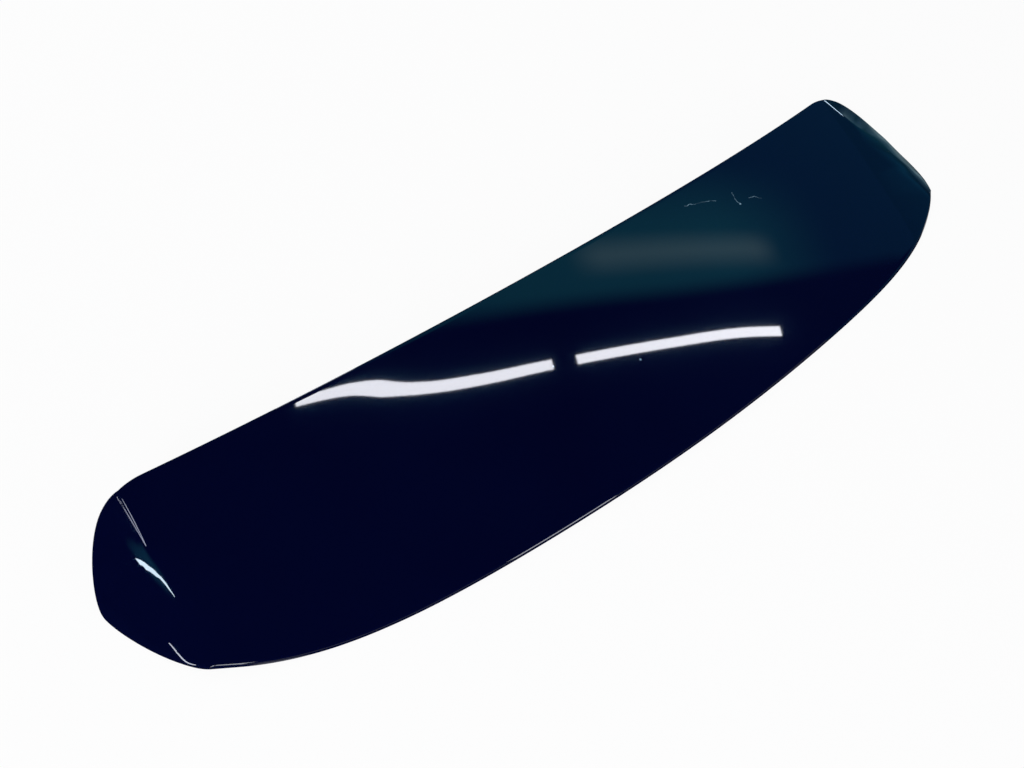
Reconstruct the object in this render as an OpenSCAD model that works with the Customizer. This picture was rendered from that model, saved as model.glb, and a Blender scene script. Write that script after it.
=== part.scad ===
// Rear roof spoiler for a family car: a painted outer skin over a black inner carrier,
// with studs, clips, pins, seals and buffers on the side that faces the tailgate.
// It lies on a table, painted side up. +X runs along the span, +Y points to the
// leading edge, which meets the roof, and Z is 0 where the lower rim rests.

/* [Span and chord] */
// Distance between the two sharp corners of the leading edge
front_span = 1062; // [885:1:1275]
// Depth from the leading edge to the trailing edge on the centre line
chord = 258; // [215:1:310]
// How far each cheek reaches out past the front corner
cheek_reach = 68.5; // [57:0.1:82.2]
// How far behind the front corner the cheek tip lies
tip_back = 80; // [66.5:0.5:96]

/* [Crown and camber] */
// Fall of the top from back to front edge, per millimetre of depth
rake = 0.247; // [0.206:0.001:0.297]
// Fall of the top at the front corners because of its crown
crown = 26; // [21.6:0.1:31.2]
// Fall of the top at the trailing edge because of its camber
camber = 10.3; // [8.5:0.1:12.4]

/* [Plan curves] */
// How far the leading edge swings forward at its corners
lead_sweep = 36; // [30:0.1:43.2]
// Length of the rounded stretch before each front corner
lead_round = 26; // [21:1:31]
// How far that rounded stretch drops back at the corner
lead_drop = 5; // [4.1:0.1:6]
// Forward sweep of the trailing edge over most of the span
trail_sweep = 60; // [50:0.5:72]
// How much the trailing edge is flattened half way out
trail_flat = 30; // [25:0.5:36]
// Forward sweep that the trailing edge gains near its corners
trail_corner = 58.5; // [48.5:0.5:70]

/* [Cheeks] */
// Extra fall of a cheek for each millimetre outside the crease
cheek_slope = 0.472; // [0.393:0.001:0.567]
// How much that fall eases toward the front corner
ease_front = 0.225; // [0.187:0.001:0.27]
// How much that fall eases toward the rear corner
ease_rear = 0.11; // [0.09:0.001:0.132]
// How far the crease runs outward on its way to the rear
crease_flare = 12; // [10:0.1:14.4]
// Width that is left of a cheek at the rear corner, where it runs out
cheek_end_width = 3; // [2.5:0.1:3.6]
// Half width of the crease bend at the front, where it is sharp
crease_sharp = 2; // [1.6:0.1:2.4]
// Half width of the crease bend behind its middle, where it is soft
crease_soft = 18; // [15:0.5:21.6]

/* [Skin] */
// Wall of the painted skin
skin_wall = 3; // [2.5:0.1:3.6]
// Width of the rounding along the trailing edge
lip_width = 3.6; // [3:0.1:4.3]
// Width of the rounding along the lower edge of a cheek
cheek_lip = 8; // [6.6:0.1:9.6]
// Height of the rounding along the trailing edge and cheeks
lip_height = 3.5; // [2.9:0.1:4.2]

/* [Carrier] */
// Wall of the inner carrier
carrier_wall = 2.5; // [2:0.1:3]
// Bond line between the skin and the carrier flange
bond = 0.3; // [0.25:0.01:0.36]
// Depth of the carrier below its flange, behind the front wall
carrier_depth = 26; // [21.6:0.1:31.2]
// Width of the bonded flange round the carrier
flange_width = 14; // [11.6:0.1:16.8]
// Distance from the front crease corner to the carrier's end
carrier_end = 22; // [20:0.5:27]
// Gap between the carrier's front flange and the leading edge
front_gap = 5; // [4.2:0.1:6]
// Gap between the carrier's rear flange and the trailing edge
rear_gap = 14; // [11.6:0.1:16.8]
// Depth of the stiffening beads across the carrier floor
bead_depth = 3; // [2.5:0.1:3.6]
// Centre distance of the stiffening beads
bead_pitch = 75; // [62:1:90]

/* [Studs] */
// Thread diameter of a mounting stud
stud_d = 6; // [5:0.1:7.2]
// Free length of a stud below its mounting pad
stud_length = 22; // [18:0.5:26]
// Centre distance of the outer pair of studs
stud_span_outer = 760; // [634:1:912]
// Centre distance of the inner pair of studs
stud_span_inner = 300; // [250:1:360]
// Distance of the studs behind the leading edge on the centre line
stud_back = 45; // [38:1:54]
// Diameter of the round head of a stud
stud_head_d = 18; // [15:0.1:20]
// Thickness of the head of a stud
stud_head_t = 2.5; // [2:0.1:3]
// Outer diameter of a stud tower
tower_d = 32; // [29:0.1:38]
// Wall of a stud tower
tower_wall = 3; // [2.5:0.1:3.6]
// Clearance round the stud in the tower's floor
stud_clear = 0.3; // [0.25:0.01:0.36]
// Height of the pads under the towers above the ground
pad_height = 28; // [27:0.5:33]

/* [Small parts] */
// Diameter of a locating pin
pin_d = 8; // [6.6:0.1:9.6]
// Free length of a locating pin
pin_length = 12; // [10:0.1:14.4]
// Centre distance of the locating pins
pin_span = 530; // [442:1:600]
// Distance of the pins behind the studs
pin_back = 18; // [15:0.5:21.5]
// Thickness of a foam gasket round a stud
gasket_t = 5; // [4.1:0.1:6]
// Centre distance of the side clips
clip_span = 930; // [880:1:960]
// Width of a side clip
clip_width = 14; // [11.6:0.1:16.8]
// Thickness of the clip's spring steel
clip_steel = 0.8; // [0.7:0.05:1]
// Height of the leading edge seal
seal_height = 6; // [5:0.1:7.2]
// Width of the leading edge seal
seal_width = 9; // [7.5:0.1:10.8]
// Centre distance of the rubber buffers
buffer_span = 640; // [534:1:768]
// Distance of the buffers behind the studs
buffer_back = 103; // [86:1:123]
// Diameter of the head of a buffer
buffer_d = 20; // [16.6:0.1:24]
// Thickness of the foam pad inside a cheek
cheek_pad_t = 4; // [3.3:0.1:4.8]

/* [Hidden] */
$fn = 48;
eps = 0.01;

paint = "#0a0d26";
black_abs = "#1b1c1e";
zinc = "#b9bcc0";
foam = "#2b2c2e";
spring = "#8d8f92";

half = front_span / 2;
tip_x = half + cheek_reach;

function mix(a, b, t) = a + (b - a) * t;
function clamp(t) = min(1, max(0, t));
function smooth(t) = let (s = clamp(t)) s * s * (3 - 2 * s);
function bezier(p, t) =
    pow(1 - t, 3) * p[0] + 3 * pow(1 - t, 2) * t * p[1] + 3 * (1 - t) * t * t * p[2]
    + pow(t, 3) * p[3];

// Plan curves of the leading and trailing edges, before the part is centred. The sweep of
// the leading edge grows with the square of x, and a small share with its fourth power.
lead_fourth_share = 0.09;
function lead_raw(x) =
    let (u = x / half, s = max(0, x - half + lead_round) / lead_round)
    lead_sweep * mix(pow(u, 2), pow(u, 4), lead_fourth_share) - lead_drop * s * s;
function trail_raw(x) =
    let (u = x / half)
    -chord + trail_sweep * pow(u, 2) - trail_flat * pow(u, 4) + trail_corner * pow(u, 6);

corner_raw = lead_raw(half);
rear_x = half + crease_flare;
rear_raw = trail_raw(rear_x);

// Outline of a cheek in plan: its front edge runs from the corner to the tip, and its
// lower edge from the tip to the rear corner. Both are curves with two handles that
// share their direction at the tip.
corner_handle = [0.485 * cheek_reach, 0.068 * tip_back];
tip_y = corner_raw - tip_back;
tip_lean = 0.16;
tip_hold_front = 0.3 * tip_back;
cheek_front = [
    [half, corner_raw],
    [half, corner_raw] + corner_handle,
    [tip_x + tip_lean * tip_hold_front, tip_y + tip_hold_front],
    [tip_x, tip_y]
];
cheek_end_x = rear_x + cheek_end_width;
rear_tangent = trail_raw(cheek_end_x + 1) - trail_raw(cheek_end_x);
lower_run = tip_y - rear_raw;
tip_hold_rear = 0.21 * lower_run;
end_hold = 0.2 * lower_run;
cheek_lower = [
    [tip_x, tip_y],
    [tip_x - tip_lean * tip_hold_rear, tip_y - tip_hold_rear],
    [cheek_end_x + end_hold, trail_raw(cheek_end_x) + end_hold * rear_tangent],
    [cheek_end_x, trail_raw(cheek_end_x)]
];

// Height of the top surface over the plan, with the crease that turns the cheeks down. The
// places where the crease opens and the fall eases are shares of the way to the rear corner.
crease_opens = [0.26, 0.48];
front_ease_ends = 0.38;
front_ease_run = 0.34;
front_ease_power = 1.6;
rear_ease_starts = 0.48;
rear_ease_run = 0.4;
function share_back(y) = (corner_raw - y) / (corner_raw - rear_raw);
function crease_x(y) = half + crease_flare * share_back(y);
function crease_half_width(y) =
    let (opened = (share_back(y) - crease_opens[0]) / (crease_opens[1] - crease_opens[0]))
    mix(crease_sharp, crease_soft, smooth(opened));
function fall_rate(y) =
    let (
        front = clamp((front_ease_ends - share_back(y)) / front_ease_run),
        rear = clamp((share_back(y) - rear_ease_starts) / rear_ease_run)
    )
    cheek_slope - ease_front * pow(front, front_ease_power) - ease_rear * pow(rear, 2);
function cheek_fall(x, y) =
    let (w = crease_half_width(y), q = abs(x) - crease_x(y))
    fall_rate(y) * (q > w ? q : q < -w ? 0 : pow(q + w, 2) / (4 * w));
function top_raw(x, y) =
    rake * y - crown * pow(x / half, 2) - camber * pow(y / chord, 2) - cheek_fall(x, y);

// A place on the skin: c runs 0 to 1 across the top, 1 to 2 round the crease and 2 to 3
// down the cheek, and v runs 0 to 1 from the leading edge to the trailing edge
function crease_at(v) =
    let (x = half + crease_flare * v)
    [x, mix(lead_raw(x), trail_raw(x), v)];
function lower_at(v) = bezier(cheek_lower, v);
function bulge(t, v) =
    (bezier(cheek_front, t) - mix(cheek_front[0], cheek_front[3], t)) * pow(1 - v, 3);
function cheek_place(t, v) = mix(crease_at(v), lower_at(v), t) + bulge(t, v);
function row_width(v) = lower_at(v)[0] - crease_at(v)[0];

// Neither the bend nor the rounded lip takes more than this share of a cheek's row
row_share_max = 0.45;
function bend(v) = min(crease_half_width(crease_at(v)[1]), row_share_max * row_width(v));
function lip_share(v) = min(cheek_lip / row_width(v), row_share_max);
function top_place(x, v) = [x, mix(lead_raw(x), trail_raw(x), v)];
function place(c, v) =
    let (k = crease_at(v)[0], w = bend(v), q = w * (2 * c - 3))
    c <= 1 ? top_place(c * (k - w), v)
    : c <= 1.5 ? top_place(k + q, v)
    : c <= 2 ? cheek_place(q / row_width(v), v)
    : cheek_place(mix(w / row_width(v), 1, c - 2), v);

// Fall of a rounded edge at a share t of its width from the rim
front_lip_width = 2;
front_lip_height = 1.5;
function round_fall(t) = t >= 1 ? 0 : 1 - sqrt(1 - pow(1 - t, 2));
function edge_fall(c, v) =
    let (
        side = lip_height * round_fall((3 - c) / lip_share(v)),
        rear = lip_height * round_fall((1 - v) * chord / lip_width),
        front = front_lip_height * round_fall(v * chord / front_lip_width)
    )
    max(side, rear, front);

// The part is centred on its own box and set down on the lowest point of its rim
rim_steps = 60;
front_reach = max([for (i = [0:rim_steps]) bezier(cheek_front, i / rim_steps)[1]]);
shift_y = (chord - front_reach) / 2;
rim_points = concat(
    [for (i = [0:rim_steps]) top_place(half * i / rim_steps, 1)],
    [for (i = [0:rim_steps]) lower_at(i / rim_steps)]
);
rim_low = min([for (p = rim_points) top_raw(p[0], p[1])]);
lift = lip_height - rim_low;

function lead_y(x) = lead_raw(abs(x)) + shift_y;
function trail_y(x) = trail_raw(abs(x)) + shift_y;
function top_z(x, y) = top_raw(x, y - shift_y) + lift;
function steepness(x, y) =
    norm([1, top_z(x + 0.5, y) - top_z(x - 0.5, y), top_z(x, y + 0.5) - top_z(x, y - 0.5)]);
function under_skin(x, y, depth) = top_z(x, y) - depth * steepness(x, y);

// Rows and columns of the skin. The columns crowd toward the crease, and those of the lip
// stand at shares of its width.
top_columns = 14;
column_crowding = 1.35;
bend_columns = 4;
cheek_columns = 5;
chord_rows = 14;
lip_shares = [0.55, 0.25, 0.07, 0];
front_lip_shares = [0, 0.15, 1];
right_columns = concat(
    [for (i = [0:top_columns]) 1 - pow(1 - i / top_columns, column_crowding)],
    [for (i = [1:bend_columns]) 1 + i / bend_columns]
);
rows = concat(
    [for (s = front_lip_shares) s * front_lip_width / chord],
    [for (j = [1:chord_rows - 1])
        mix(front_lip_width / chord, 1 - lip_width / chord, j / chord_rows)],
    [1 - lip_width / chord],
    [for (s = lip_shares) 1 - s * lip_width / chord]
);
function cheek_column(k, v) =
    k <= cheek_columns ? mix(2, 3 - lip_share(v), k / cheek_columns)
    : 3 - lip_share(v) * lip_shares[k - cheek_columns - 1];
cheek_count = cheek_columns + len(lip_shares);
half_count = len(right_columns) + cheek_count - 1;
function column_at(i, v) =
    i < len(right_columns) ? right_columns[i] : cheek_column(i - len(right_columns) + 1, v);

function outer_point(i, v) =
    let (
        side = i < 0 ? -1 : 1,
        c = column_at(abs(i), v),
        p = place(c, v),
        z = top_raw(p[0], p[1]) + lift - edge_fall(c, v)
    )
    [side * p[0], p[1] + shift_y, z];
function inner_point(i, v) =
    let (
        side = i < 0 ? -1 : 1,
        p = place(column_at(abs(i), v), v),
        x = side * p[0] * (1 - skin_wall / tip_x),
        y = (p[1] + shift_y) * (1 - 2 * skin_wall / (chord + front_reach))
    )
    [x, y, under_skin(x, y, skin_wall)];

// Faces of a sheet that lies between two grids of the same size, nr points to a column
function sheet_faces(nc, nr) =
    let (
        n = nc * nr,
        quads = concat(
            [for (i = [0:nc - 2]) for (j = [0:nr - 2])
                [i * nr + j, (i + 1) * nr + j, (i + 1) * nr + j + 1, i * nr + j + 1]],
            [for (i = [0:nc - 2]) for (j = [0:nr - 2])
                [n + i * nr + j + 1, n + (i + 1) * nr + j + 1, n + (i + 1) * nr + j,
                    n + i * nr + j]],
            [for (i = [0:nc - 2]) [(i + 1) * nr, i * nr, n + i * nr, n + (i + 1) * nr]],
            [for (i = [0:nc - 2]) let (a = (i + 1) * nr - 1)
                [a, a + nr, n + a + nr, n + a]],
            [for (j = [0:nr - 2]) [j, j + 1, n + j + 1, n + j]],
            [for (j = [0:nr - 2]) let (a = (nc - 1) * nr + j)
                [a + 1, a, n + a, n + a + 1]]
        )
    )
    [for (q = quads) each [[q[0], q[1], q[2]], [q[0], q[2], q[3]]]];

module sheet(upper, lower) {
    polyhedron(
        points = concat([for (column = upper) each column], [for (column = lower) each column]),
        faces = sheet_faces(len(upper), len(upper[0])),
        convexity = 6
    );
}

module outer_skin() {
    color(paint)
        sheet(
            [for (i = [-half_count:half_count]) [for (v = rows) outer_point(i, v)]],
            [for (i = [-half_count:half_count]) [for (v = rows) inner_point(i, v)]]
        );
}

// Carrier floor: a hat section bonded under the skin by a flange all round
carrier_half = half - carrier_end;
ramp = 0.85 * flange_width;
flange_drop = skin_wall + bond;
floor_drop = 1.1 * carrier_wall;
end_shallow = 0.35;
bead_edge = 0.16 * bead_pitch;
bead_flank = 2;
function carrier_y(x, v) =
    mix(lead_y(x) - front_gap, trail_y(x) + rear_gap, v);
function side_share(x) = smooth((carrier_half - flange_width - abs(x)) / ramp);
function carrier_run(x) = lead_y(x) - front_gap - trail_y(x) - rear_gap;
function depth_share(x, v) =
    let (
        from_front = v * carrier_run(x),
        to_rear = (1 - v) * carrier_run(x)
    )
    clamp((from_front - flange_width) / ramp)
    * clamp((to_rear - flange_width) / (carrier_run(x) - 2 * flange_width - ramp));
function bead(x) =
    let (q = abs(x) % bead_pitch - bead_pitch / 2)
    abs(q) < bead_edge ? 1 : 0;
function carrier_fall(x, v) =
    side_share(x) * depth_share(x, v)
    * (carrier_depth * (1 - end_shallow * pow(x / carrier_half, 2)) - bead_depth * bead(x));
function carrier_point(x, v, down) =
    let (y = carrier_y(x, v))
    [x, y, under_skin(x, y, flange_drop) - carrier_fall(x, v) - down];

bead_count = floor((carrier_half - flange_width - ramp - bead_pitch / 2) / bead_pitch);
carrier_side_xs = concat(
    [for (k = [0:bead_count]) let (m = (k + 0.5) * bead_pitch)
        each [m - bead_edge - bead_flank, m - bead_edge + eps,
            m + bead_edge - eps, m + bead_edge + bead_flank]],
    [carrier_half - flange_width - ramp, carrier_half - flange_width - 0.5 * ramp,
        carrier_half - flange_width, carrier_half]
);
carrier_xs = concat(
    [for (k = [len(carrier_side_xs) - 1:-1:0]) -carrier_side_xs[k]],
    [0],
    carrier_side_xs
);
wall_foot = flange_width + ramp;
floor_steps = 7;
function carrier_rows(x) =
    let (run = carrier_run(x))
    concat(
        [0, flange_width / 2, flange_width, flange_width + ramp / 2] / run,
        [for (k = [0:floor_steps]) mix(wall_foot, run - flange_width, k / floor_steps) / run],
        [1]
    );

module carrier_panel() {
    sheet(
        [for (x = carrier_xs) [for (v = carrier_rows(x)) carrier_point(x, v, 0)]],
        [for (x = carrier_xs) [for (v = carrier_rows(x)) carrier_point(x, v, floor_drop)]]
    );
}

stud_y = lead_y(0) - stud_back;
stud_xs = [-stud_span_outer / 2, -stud_span_inner / 2, stud_span_inner / 2,
    stud_span_outer / 2];
pin_xs = [-pin_span / 2, pin_span / 2];
pin_y = stud_y - pin_back;
pin_boss_d = pin_d + 6;
pin_tip = 1.5;
buffer_y = stud_y - buffer_back;
buffer_seat_d = buffer_d + 2;
buffer_seat_h = 5;
buffer_seat_proud = 2;
buffer_stem_d = 0.4 * buffer_d;
buffer_head_t = 7;
clip_y = stud_y - 2;
blade_t = 3;
blade_low = 12;
blade_margin = 2;
clip_hug = 0.05;

// Height of the carrier's upper face over a place in plan
function floor_v(x, y) = (lead_y(x) - front_gap - y) / carrier_run(x);
function floor_z(x, y) = carrier_point(x, floor_v(x, y), 0)[2];

tower_proud = 5;
function tower_top(x) = floor_z(x, stud_y) + tower_proud;
gusset_reach = 12;
gusset_t = 2;

module tower(x) {
    translate([x, stud_y, pad_height])
        cylinder(h = tower_top(x) - pad_height, d = tower_d);
    for (angle = [45:90:315]) gusset(x, angle);
}

module gusset(x, angle) {
    near = tower_d / 2 - tower_wall / 2;
    far = tower_d / 2 + gusset_reach;
    function rib_z(reach) =
        floor_z(x + reach * cos(angle), stud_y + reach * sin(angle)) - carrier_wall / 2;
    translate([x, stud_y, 0])
        rotate([90, 0, angle])
            translate([0, 0, -gusset_t / 2])
                linear_extrude(gusset_t)
                    polygon([
                        [near, pad_height + 1],
                        [tower_d / 2 + 1, pad_height + 1],
                        [far, rib_z(far)],
                        [near, rib_z(near)]
                    ]);
}

module tower_bore(x) {
    translate([x, stud_y, pad_height + tower_wall])
        cylinder(h = tower_top(x) - pad_height, d = tower_d - 2 * tower_wall);
    translate([x, stud_y, pad_height - 1])
        cylinder(h = tower_wall + 2, d = stud_d + 2 * stud_clear);
}

module locating_pin(x) {
    translate([x, pin_y, pad_height])
        cylinder(h = floor_z(x, pin_y) - pad_height - 1, d = pin_boss_d);
    translate([x, pin_y, pad_height - pin_length + pin_tip])
        cylinder(h = pin_length, d = pin_d);
    translate([x, pin_y, pad_height - pin_length])
        cylinder(h = pin_tip, d1 = pin_d - 2 * pin_tip, d2 = pin_d);
}

buffer_xs = [-buffer_span / 2, buffer_span / 2];
function buffer_low(x) = floor_z(x, buffer_y) - carrier_wall - buffer_seat_h;
function buffer_high(x) = floor_z(x, buffer_y) + buffer_seat_proud;

module buffer_seat(x) {
    translate([x, buffer_y, buffer_low(x)])
        cylinder(h = buffer_high(x) - buffer_low(x), d = buffer_seat_d);
}

module buffer_hole(x) {
    translate([x, buffer_y, buffer_low(x) - 1])
        cylinder(h = buffer_high(x) - buffer_low(x) + 2, d = buffer_stem_d);
}

module clip_blade(x) {
    width = clip_width + 2 * blade_margin;
    top = floor_z(x, clip_y) - carrier_wall / 2;
    translate([x - width / 2, clip_y - blade_t / 2, blade_low])
        cube([width, blade_t, top - blade_low]);
}

module inner_carrier() {
    color(black_abs)
        difference() {
            union() {
                carrier_panel();
                for (x = stud_xs) tower(x);
                for (x = pin_xs) locating_pin(x);
                for (x = buffer_xs) buffer_seat(x);
                for (x = clip_xs) clip_blade(x);
            }
            for (x = stud_xs) tower_bore(x);
            for (x = buffer_xs) buffer_hole(x);
        }
}

module at_studs() {
    for (x = stud_xs) translate([x, stud_y, 0]) children();
}

// A stud lies head up in its tower and points down through the tower's floor. Its
// smooth neck passes the floor and the retainer, and the thread begins below them.
neck_d = stud_d - 0.4;
neck_below = 2.4;
module mounting_studs() {
    tip = 1;
    thread_top = pad_height - neck_below;
    color(zinc)
        at_studs() {
            translate([0, 0, pad_height + tower_wall])
                cylinder(h = stud_head_t, d = stud_head_d);
            translate([0, 0, thread_top])
                cylinder(h = neck_below + tower_wall, d = neck_d);
            translate([0, 0, pad_height - stud_length + tip])
                cylinder(h = stud_length - tip - neck_below, d = stud_d);
            translate([0, 0, pad_height - stud_length])
                cylinder(h = tip, d1 = stud_d - 2 * tip, d2 = stud_d);
        }
}

// Dished push-on washers that keep the studs up in their towers
module stud_retainers() {
    rim = 0.8;
    dish = 1;
    bore_r = neck_d / 2 + 0.05;
    dish_r = stud_d / 2 + 2.5;
    rim_r = stud_d / 2 + 4.5;
    color(spring)
        at_studs()
            translate([0, 0, pad_height - rim])
                rotate_extrude()
                    polygon([
                        [bore_r, -dish],
                        [bore_r, rim - dish],
                        [dish_r, rim],
                        [rim_r, rim],
                        [rim_r, 0],
                        [dish_r, 0]
                    ]);
}

// Foam rings that seal the stud holes in the tailgate
module stud_gaskets() {
    outer_d = tower_d - 1;
    inner_d = stud_d + 11;
    color(foam)
        at_studs()
            translate([0, 0, pad_height - gasket_t])
                difference() {
                    cylinder(h = gasket_t, d = outer_d);
                    translate([0, 0, -1]) cylinder(h = gasket_t + 2, d = inner_d);
                }
}

// A strip of even thickness along a line of points
function unit(v) = v / norm(v);
function strip_side(path, t) = [
    for (i = [0:len(path) - 1])
        let (
            a = unit(path[min(i + 1, len(path) - 1)] - path[min(i, len(path) - 2)]),
            b = unit(path[max(i, 1)] - path[max(i - 1, 0)]),
            m = unit(a + b),
            n = [-m[1], m[0]]
        )
        path[i] + n * t / (n * [-a[1], a[0]])
];
module strip(path, t) {
    back = strip_side(path, -t / 2);
    polygon(concat(strip_side(path, t / 2), [for (i = [len(back) - 1:-1:0]) back[i]]));
}

clip_xs = [-clip_span / 2, clip_span / 2];
clip_side = blade_t / 2 + clip_hug + clip_steel / 2;
clip_foot = -clip_hug - clip_steel / 2;
clip_height = 14;
clip_barb = 3.4;
clip_barb_z = 8;
clip_neck_z = 12.5;

// Half of the clip's profile: from the blade's tip out to the barb and back to the blade
clip_right_leg = [
    [blade_t / 2 + 0.35, clip_foot],
    [clip_side + 0.8, 1.2],
    [clip_side + clip_barb, clip_barb_z],
    [clip_side, clip_neck_z],
    [clip_side, clip_height]
];
clip_path = concat(
    [for (i = [len(clip_right_leg) - 1:-1:0]) [-clip_right_leg[i][0], clip_right_leg[i][1]]],
    clip_right_leg
);

// A spring steel clip is pushed on a blade of the carrier and snaps into a slot
module side_clip(x) {
    color(spring)
        translate([x - clip_width / 2, clip_y, blade_low])
            rotate([90, 0, 90])
                linear_extrude(clip_width) strip(clip_path, clip_steel);
}

module side_clip_left() {
    side_clip(clip_xs[0]);
}

module side_clip_right() {
    side_clip(clip_xs[1]);
}

// Foam seal under the carrier's front flange, with a rounded lower face
seal_shares = [0, 0.12, 0.3, 0.7, 0.88, 1];
seal_inset = 2.5;
seal_film = 0.1;
seal_side = 0.45;
module front_seal() {
    function seal_y(x, s) = lead_y(x) - front_gap - seal_inset - s * seal_width;
    function seal_top(x, s) = floor_z(x, seal_y(x, s)) - floor_drop - seal_film;
    function seal_fall(s) =
        seal_height * mix(seal_side, 1, sqrt(1 - pow(2 * s - 1, 2)));
    xs = [for (x = carrier_xs) if (abs(x) < carrier_half - 1) x];
    color(foam)
        sheet(
            [for (x = xs) [for (s = seal_shares) [x, seal_y(x, s), seal_top(x, s)]]],
            [for (x = xs) [for (s = seal_shares)
                [x, seal_y(x, s), seal_top(x, s) - seal_fall(s)]]]
        );
}

// Self-adhesive foam pad inside a cheek, where the cheek meets the car's side. It covers
// these shares of the way down the cheek and of the way to the trailing edge.
pad_across = [0.4, 0.8];
pad_along = [0.12, 0.52];
pad_steps = [4, 5];
module cheek_pad(side) {
    ts = [for (i = [0:pad_steps[0]]) mix(pad_across[0], pad_across[1], i / pad_steps[0])];
    vs = [for (j = [0:pad_steps[1]]) mix(pad_along[0], pad_along[1], j / pad_steps[1])];
    order = side > 0 ? ts : [for (i = [len(ts) - 1:-1:0]) ts[i]];
    function pad_point(t, v, depth) =
        let (p = cheek_place(t, v), x = side * p[0], y = p[1] + shift_y)
        [x, y, under_skin(x, y, skin_wall + bond) - depth];
    color(foam)
        sheet(
            [for (t = order) [for (v = vs) pad_point(t, v, 0)]],
            [for (t = order) [for (v = vs) pad_point(t, v, cheek_pad_t)]]
        );
}

module cheek_pad_left() {
    cheek_pad(-1);
}

module cheek_pad_right() {
    cheek_pad(1);
}

// Rubber buffer with its stem through the carrier and a barb above it
module rubber_buffer(x) {
    low = buffer_low(x);
    high = buffer_high(x);
    stem_r = buffer_stem_d / 2 - 0.1;
    barb_r = buffer_stem_d / 2 + 1.2;
    barb_low = high + 0.1;
    barb_high = high + 2.8;
    color(foam)
        translate([x, buffer_y, 0])
            rotate_extrude()
                polygon([
                    [0, low - buffer_head_t],
                    [buffer_d / 2 - 3, low - buffer_head_t],
                    [buffer_d / 2 - 1, low - buffer_head_t + 1],
                    [buffer_d / 2, low - buffer_head_t + 3],
                    [buffer_d / 2, low],
                    [stem_r, low],
                    [stem_r, barb_low],
                    [barb_r, barb_low],
                    [stem_r - 0.7, barb_high],
                    [0, barb_high]
                ]);
}

module buffer_left() {
    rubber_buffer(buffer_xs[0]);
}

module buffer_right() {
    rubber_buffer(buffer_xs[1]);
}

outer_skin();
inner_carrier();
mounting_studs();
stud_retainers();
stud_gaskets();
side_clip_left();
side_clip_right();
front_seal();
cheek_pad_left();
cheek_pad_right();
buffer_left();
buffer_right();
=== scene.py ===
import math

import bmesh
import bpy
import numpy as np
from mathutils import Matrix, Vector

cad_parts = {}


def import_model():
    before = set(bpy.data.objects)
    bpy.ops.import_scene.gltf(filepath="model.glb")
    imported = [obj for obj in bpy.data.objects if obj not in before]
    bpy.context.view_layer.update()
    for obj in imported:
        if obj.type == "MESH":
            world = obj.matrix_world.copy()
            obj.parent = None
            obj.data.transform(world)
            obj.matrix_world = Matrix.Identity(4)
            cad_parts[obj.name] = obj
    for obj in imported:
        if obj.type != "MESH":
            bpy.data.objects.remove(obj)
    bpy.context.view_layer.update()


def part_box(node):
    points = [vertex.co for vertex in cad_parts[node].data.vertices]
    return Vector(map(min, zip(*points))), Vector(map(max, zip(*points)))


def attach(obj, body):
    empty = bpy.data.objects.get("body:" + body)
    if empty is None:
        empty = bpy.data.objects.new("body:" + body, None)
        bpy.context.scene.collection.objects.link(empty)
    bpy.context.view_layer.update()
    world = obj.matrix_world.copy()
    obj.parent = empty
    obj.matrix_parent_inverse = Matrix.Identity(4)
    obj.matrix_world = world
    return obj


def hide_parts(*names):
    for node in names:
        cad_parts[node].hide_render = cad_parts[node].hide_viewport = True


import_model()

MM = 0.001

# Sizes of the skin, the same as in the source of the part
FRONT_SPAN, CHORD = 1062.0, 258.0
CHEEK_REACH, TIP_BACK = 68.5, 80.0
RAKE, CROWN, CAMBER = 0.247, 26.0, 10.3
LEAD_SWEEP, LEAD_ROUND, LEAD_DROP = 36.0, 26.0, 5.0
TRAIL_SWEEP, TRAIL_FLAT, TRAIL_CORNER = 60.0, 30.0, 58.5
CHEEK_SLOPE, EASE_FRONT, EASE_REAR = 0.472, 0.225, 0.11
CREASE_FLARE, CHEEK_END_WIDTH = 12.0, 3.0
CREASE_SHARP, CREASE_SOFT = 2.0, 18.0
SKIN_WALL, LIP_WIDTH, CHEEK_LIP, LIP_HEIGHT = 3.0, 3.6, 8.0, 3.5
FRONT_LIP_WIDTH, FRONT_LIP_HEIGHT = 2.0, 1.5
# The sweep of the leading edge grows with the square of x, and this share with its fourth power
LEAD_FOURTH_SHARE = 0.09
# The places where the crease opens and the fall of a cheek eases are shares of the way from
# the front corner to the rear corner
CREASE_OPENS, CREASE_OPENING = 0.26, 0.22
FRONT_EASE_ENDS, FRONT_EASE_RUN, FRONT_EASE_POWER = 0.38, 0.34, 1.6
REAR_EASE_STARTS, REAR_EASE_RUN = 0.48, 0.4
# Neither the bend nor the rounded lip takes more than this share of a cheek's row
ROW_SHARE_MAX = 0.45

HALF = FRONT_SPAN / 2
TIP_X = HALF + CHEEK_REACH


def mix(a, b, t):
    return a + (b - a) * t


def smooth(t):
    s = np.clip(t, 0, 1)
    return s * s * (3 - 2 * s)


def bezier(points, t):
    """Points on a cubic curve at the shares t, with x and y on the last axis."""
    t = np.asarray(t, float)[..., None]
    a, b, c, d = (np.array(p, float) for p in points)
    return (1 - t) ** 3 * a + 3 * (1 - t) ** 2 * t * b + 3 * (1 - t) * t * t * c + t ** 3 * d


# Plan curves of the skin
def lead_line(x):
    u = x / HALF
    s = np.maximum(0, x - HALF + LEAD_ROUND) / LEAD_ROUND
    return LEAD_SWEEP * mix(u ** 2, u ** 4, LEAD_FOURTH_SHARE) - LEAD_DROP * s * s


def trail_line(x):
    u = x / HALF
    return -CHORD + TRAIL_SWEEP * u ** 2 - TRAIL_FLAT * u ** 4 + TRAIL_CORNER * u ** 6


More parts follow.
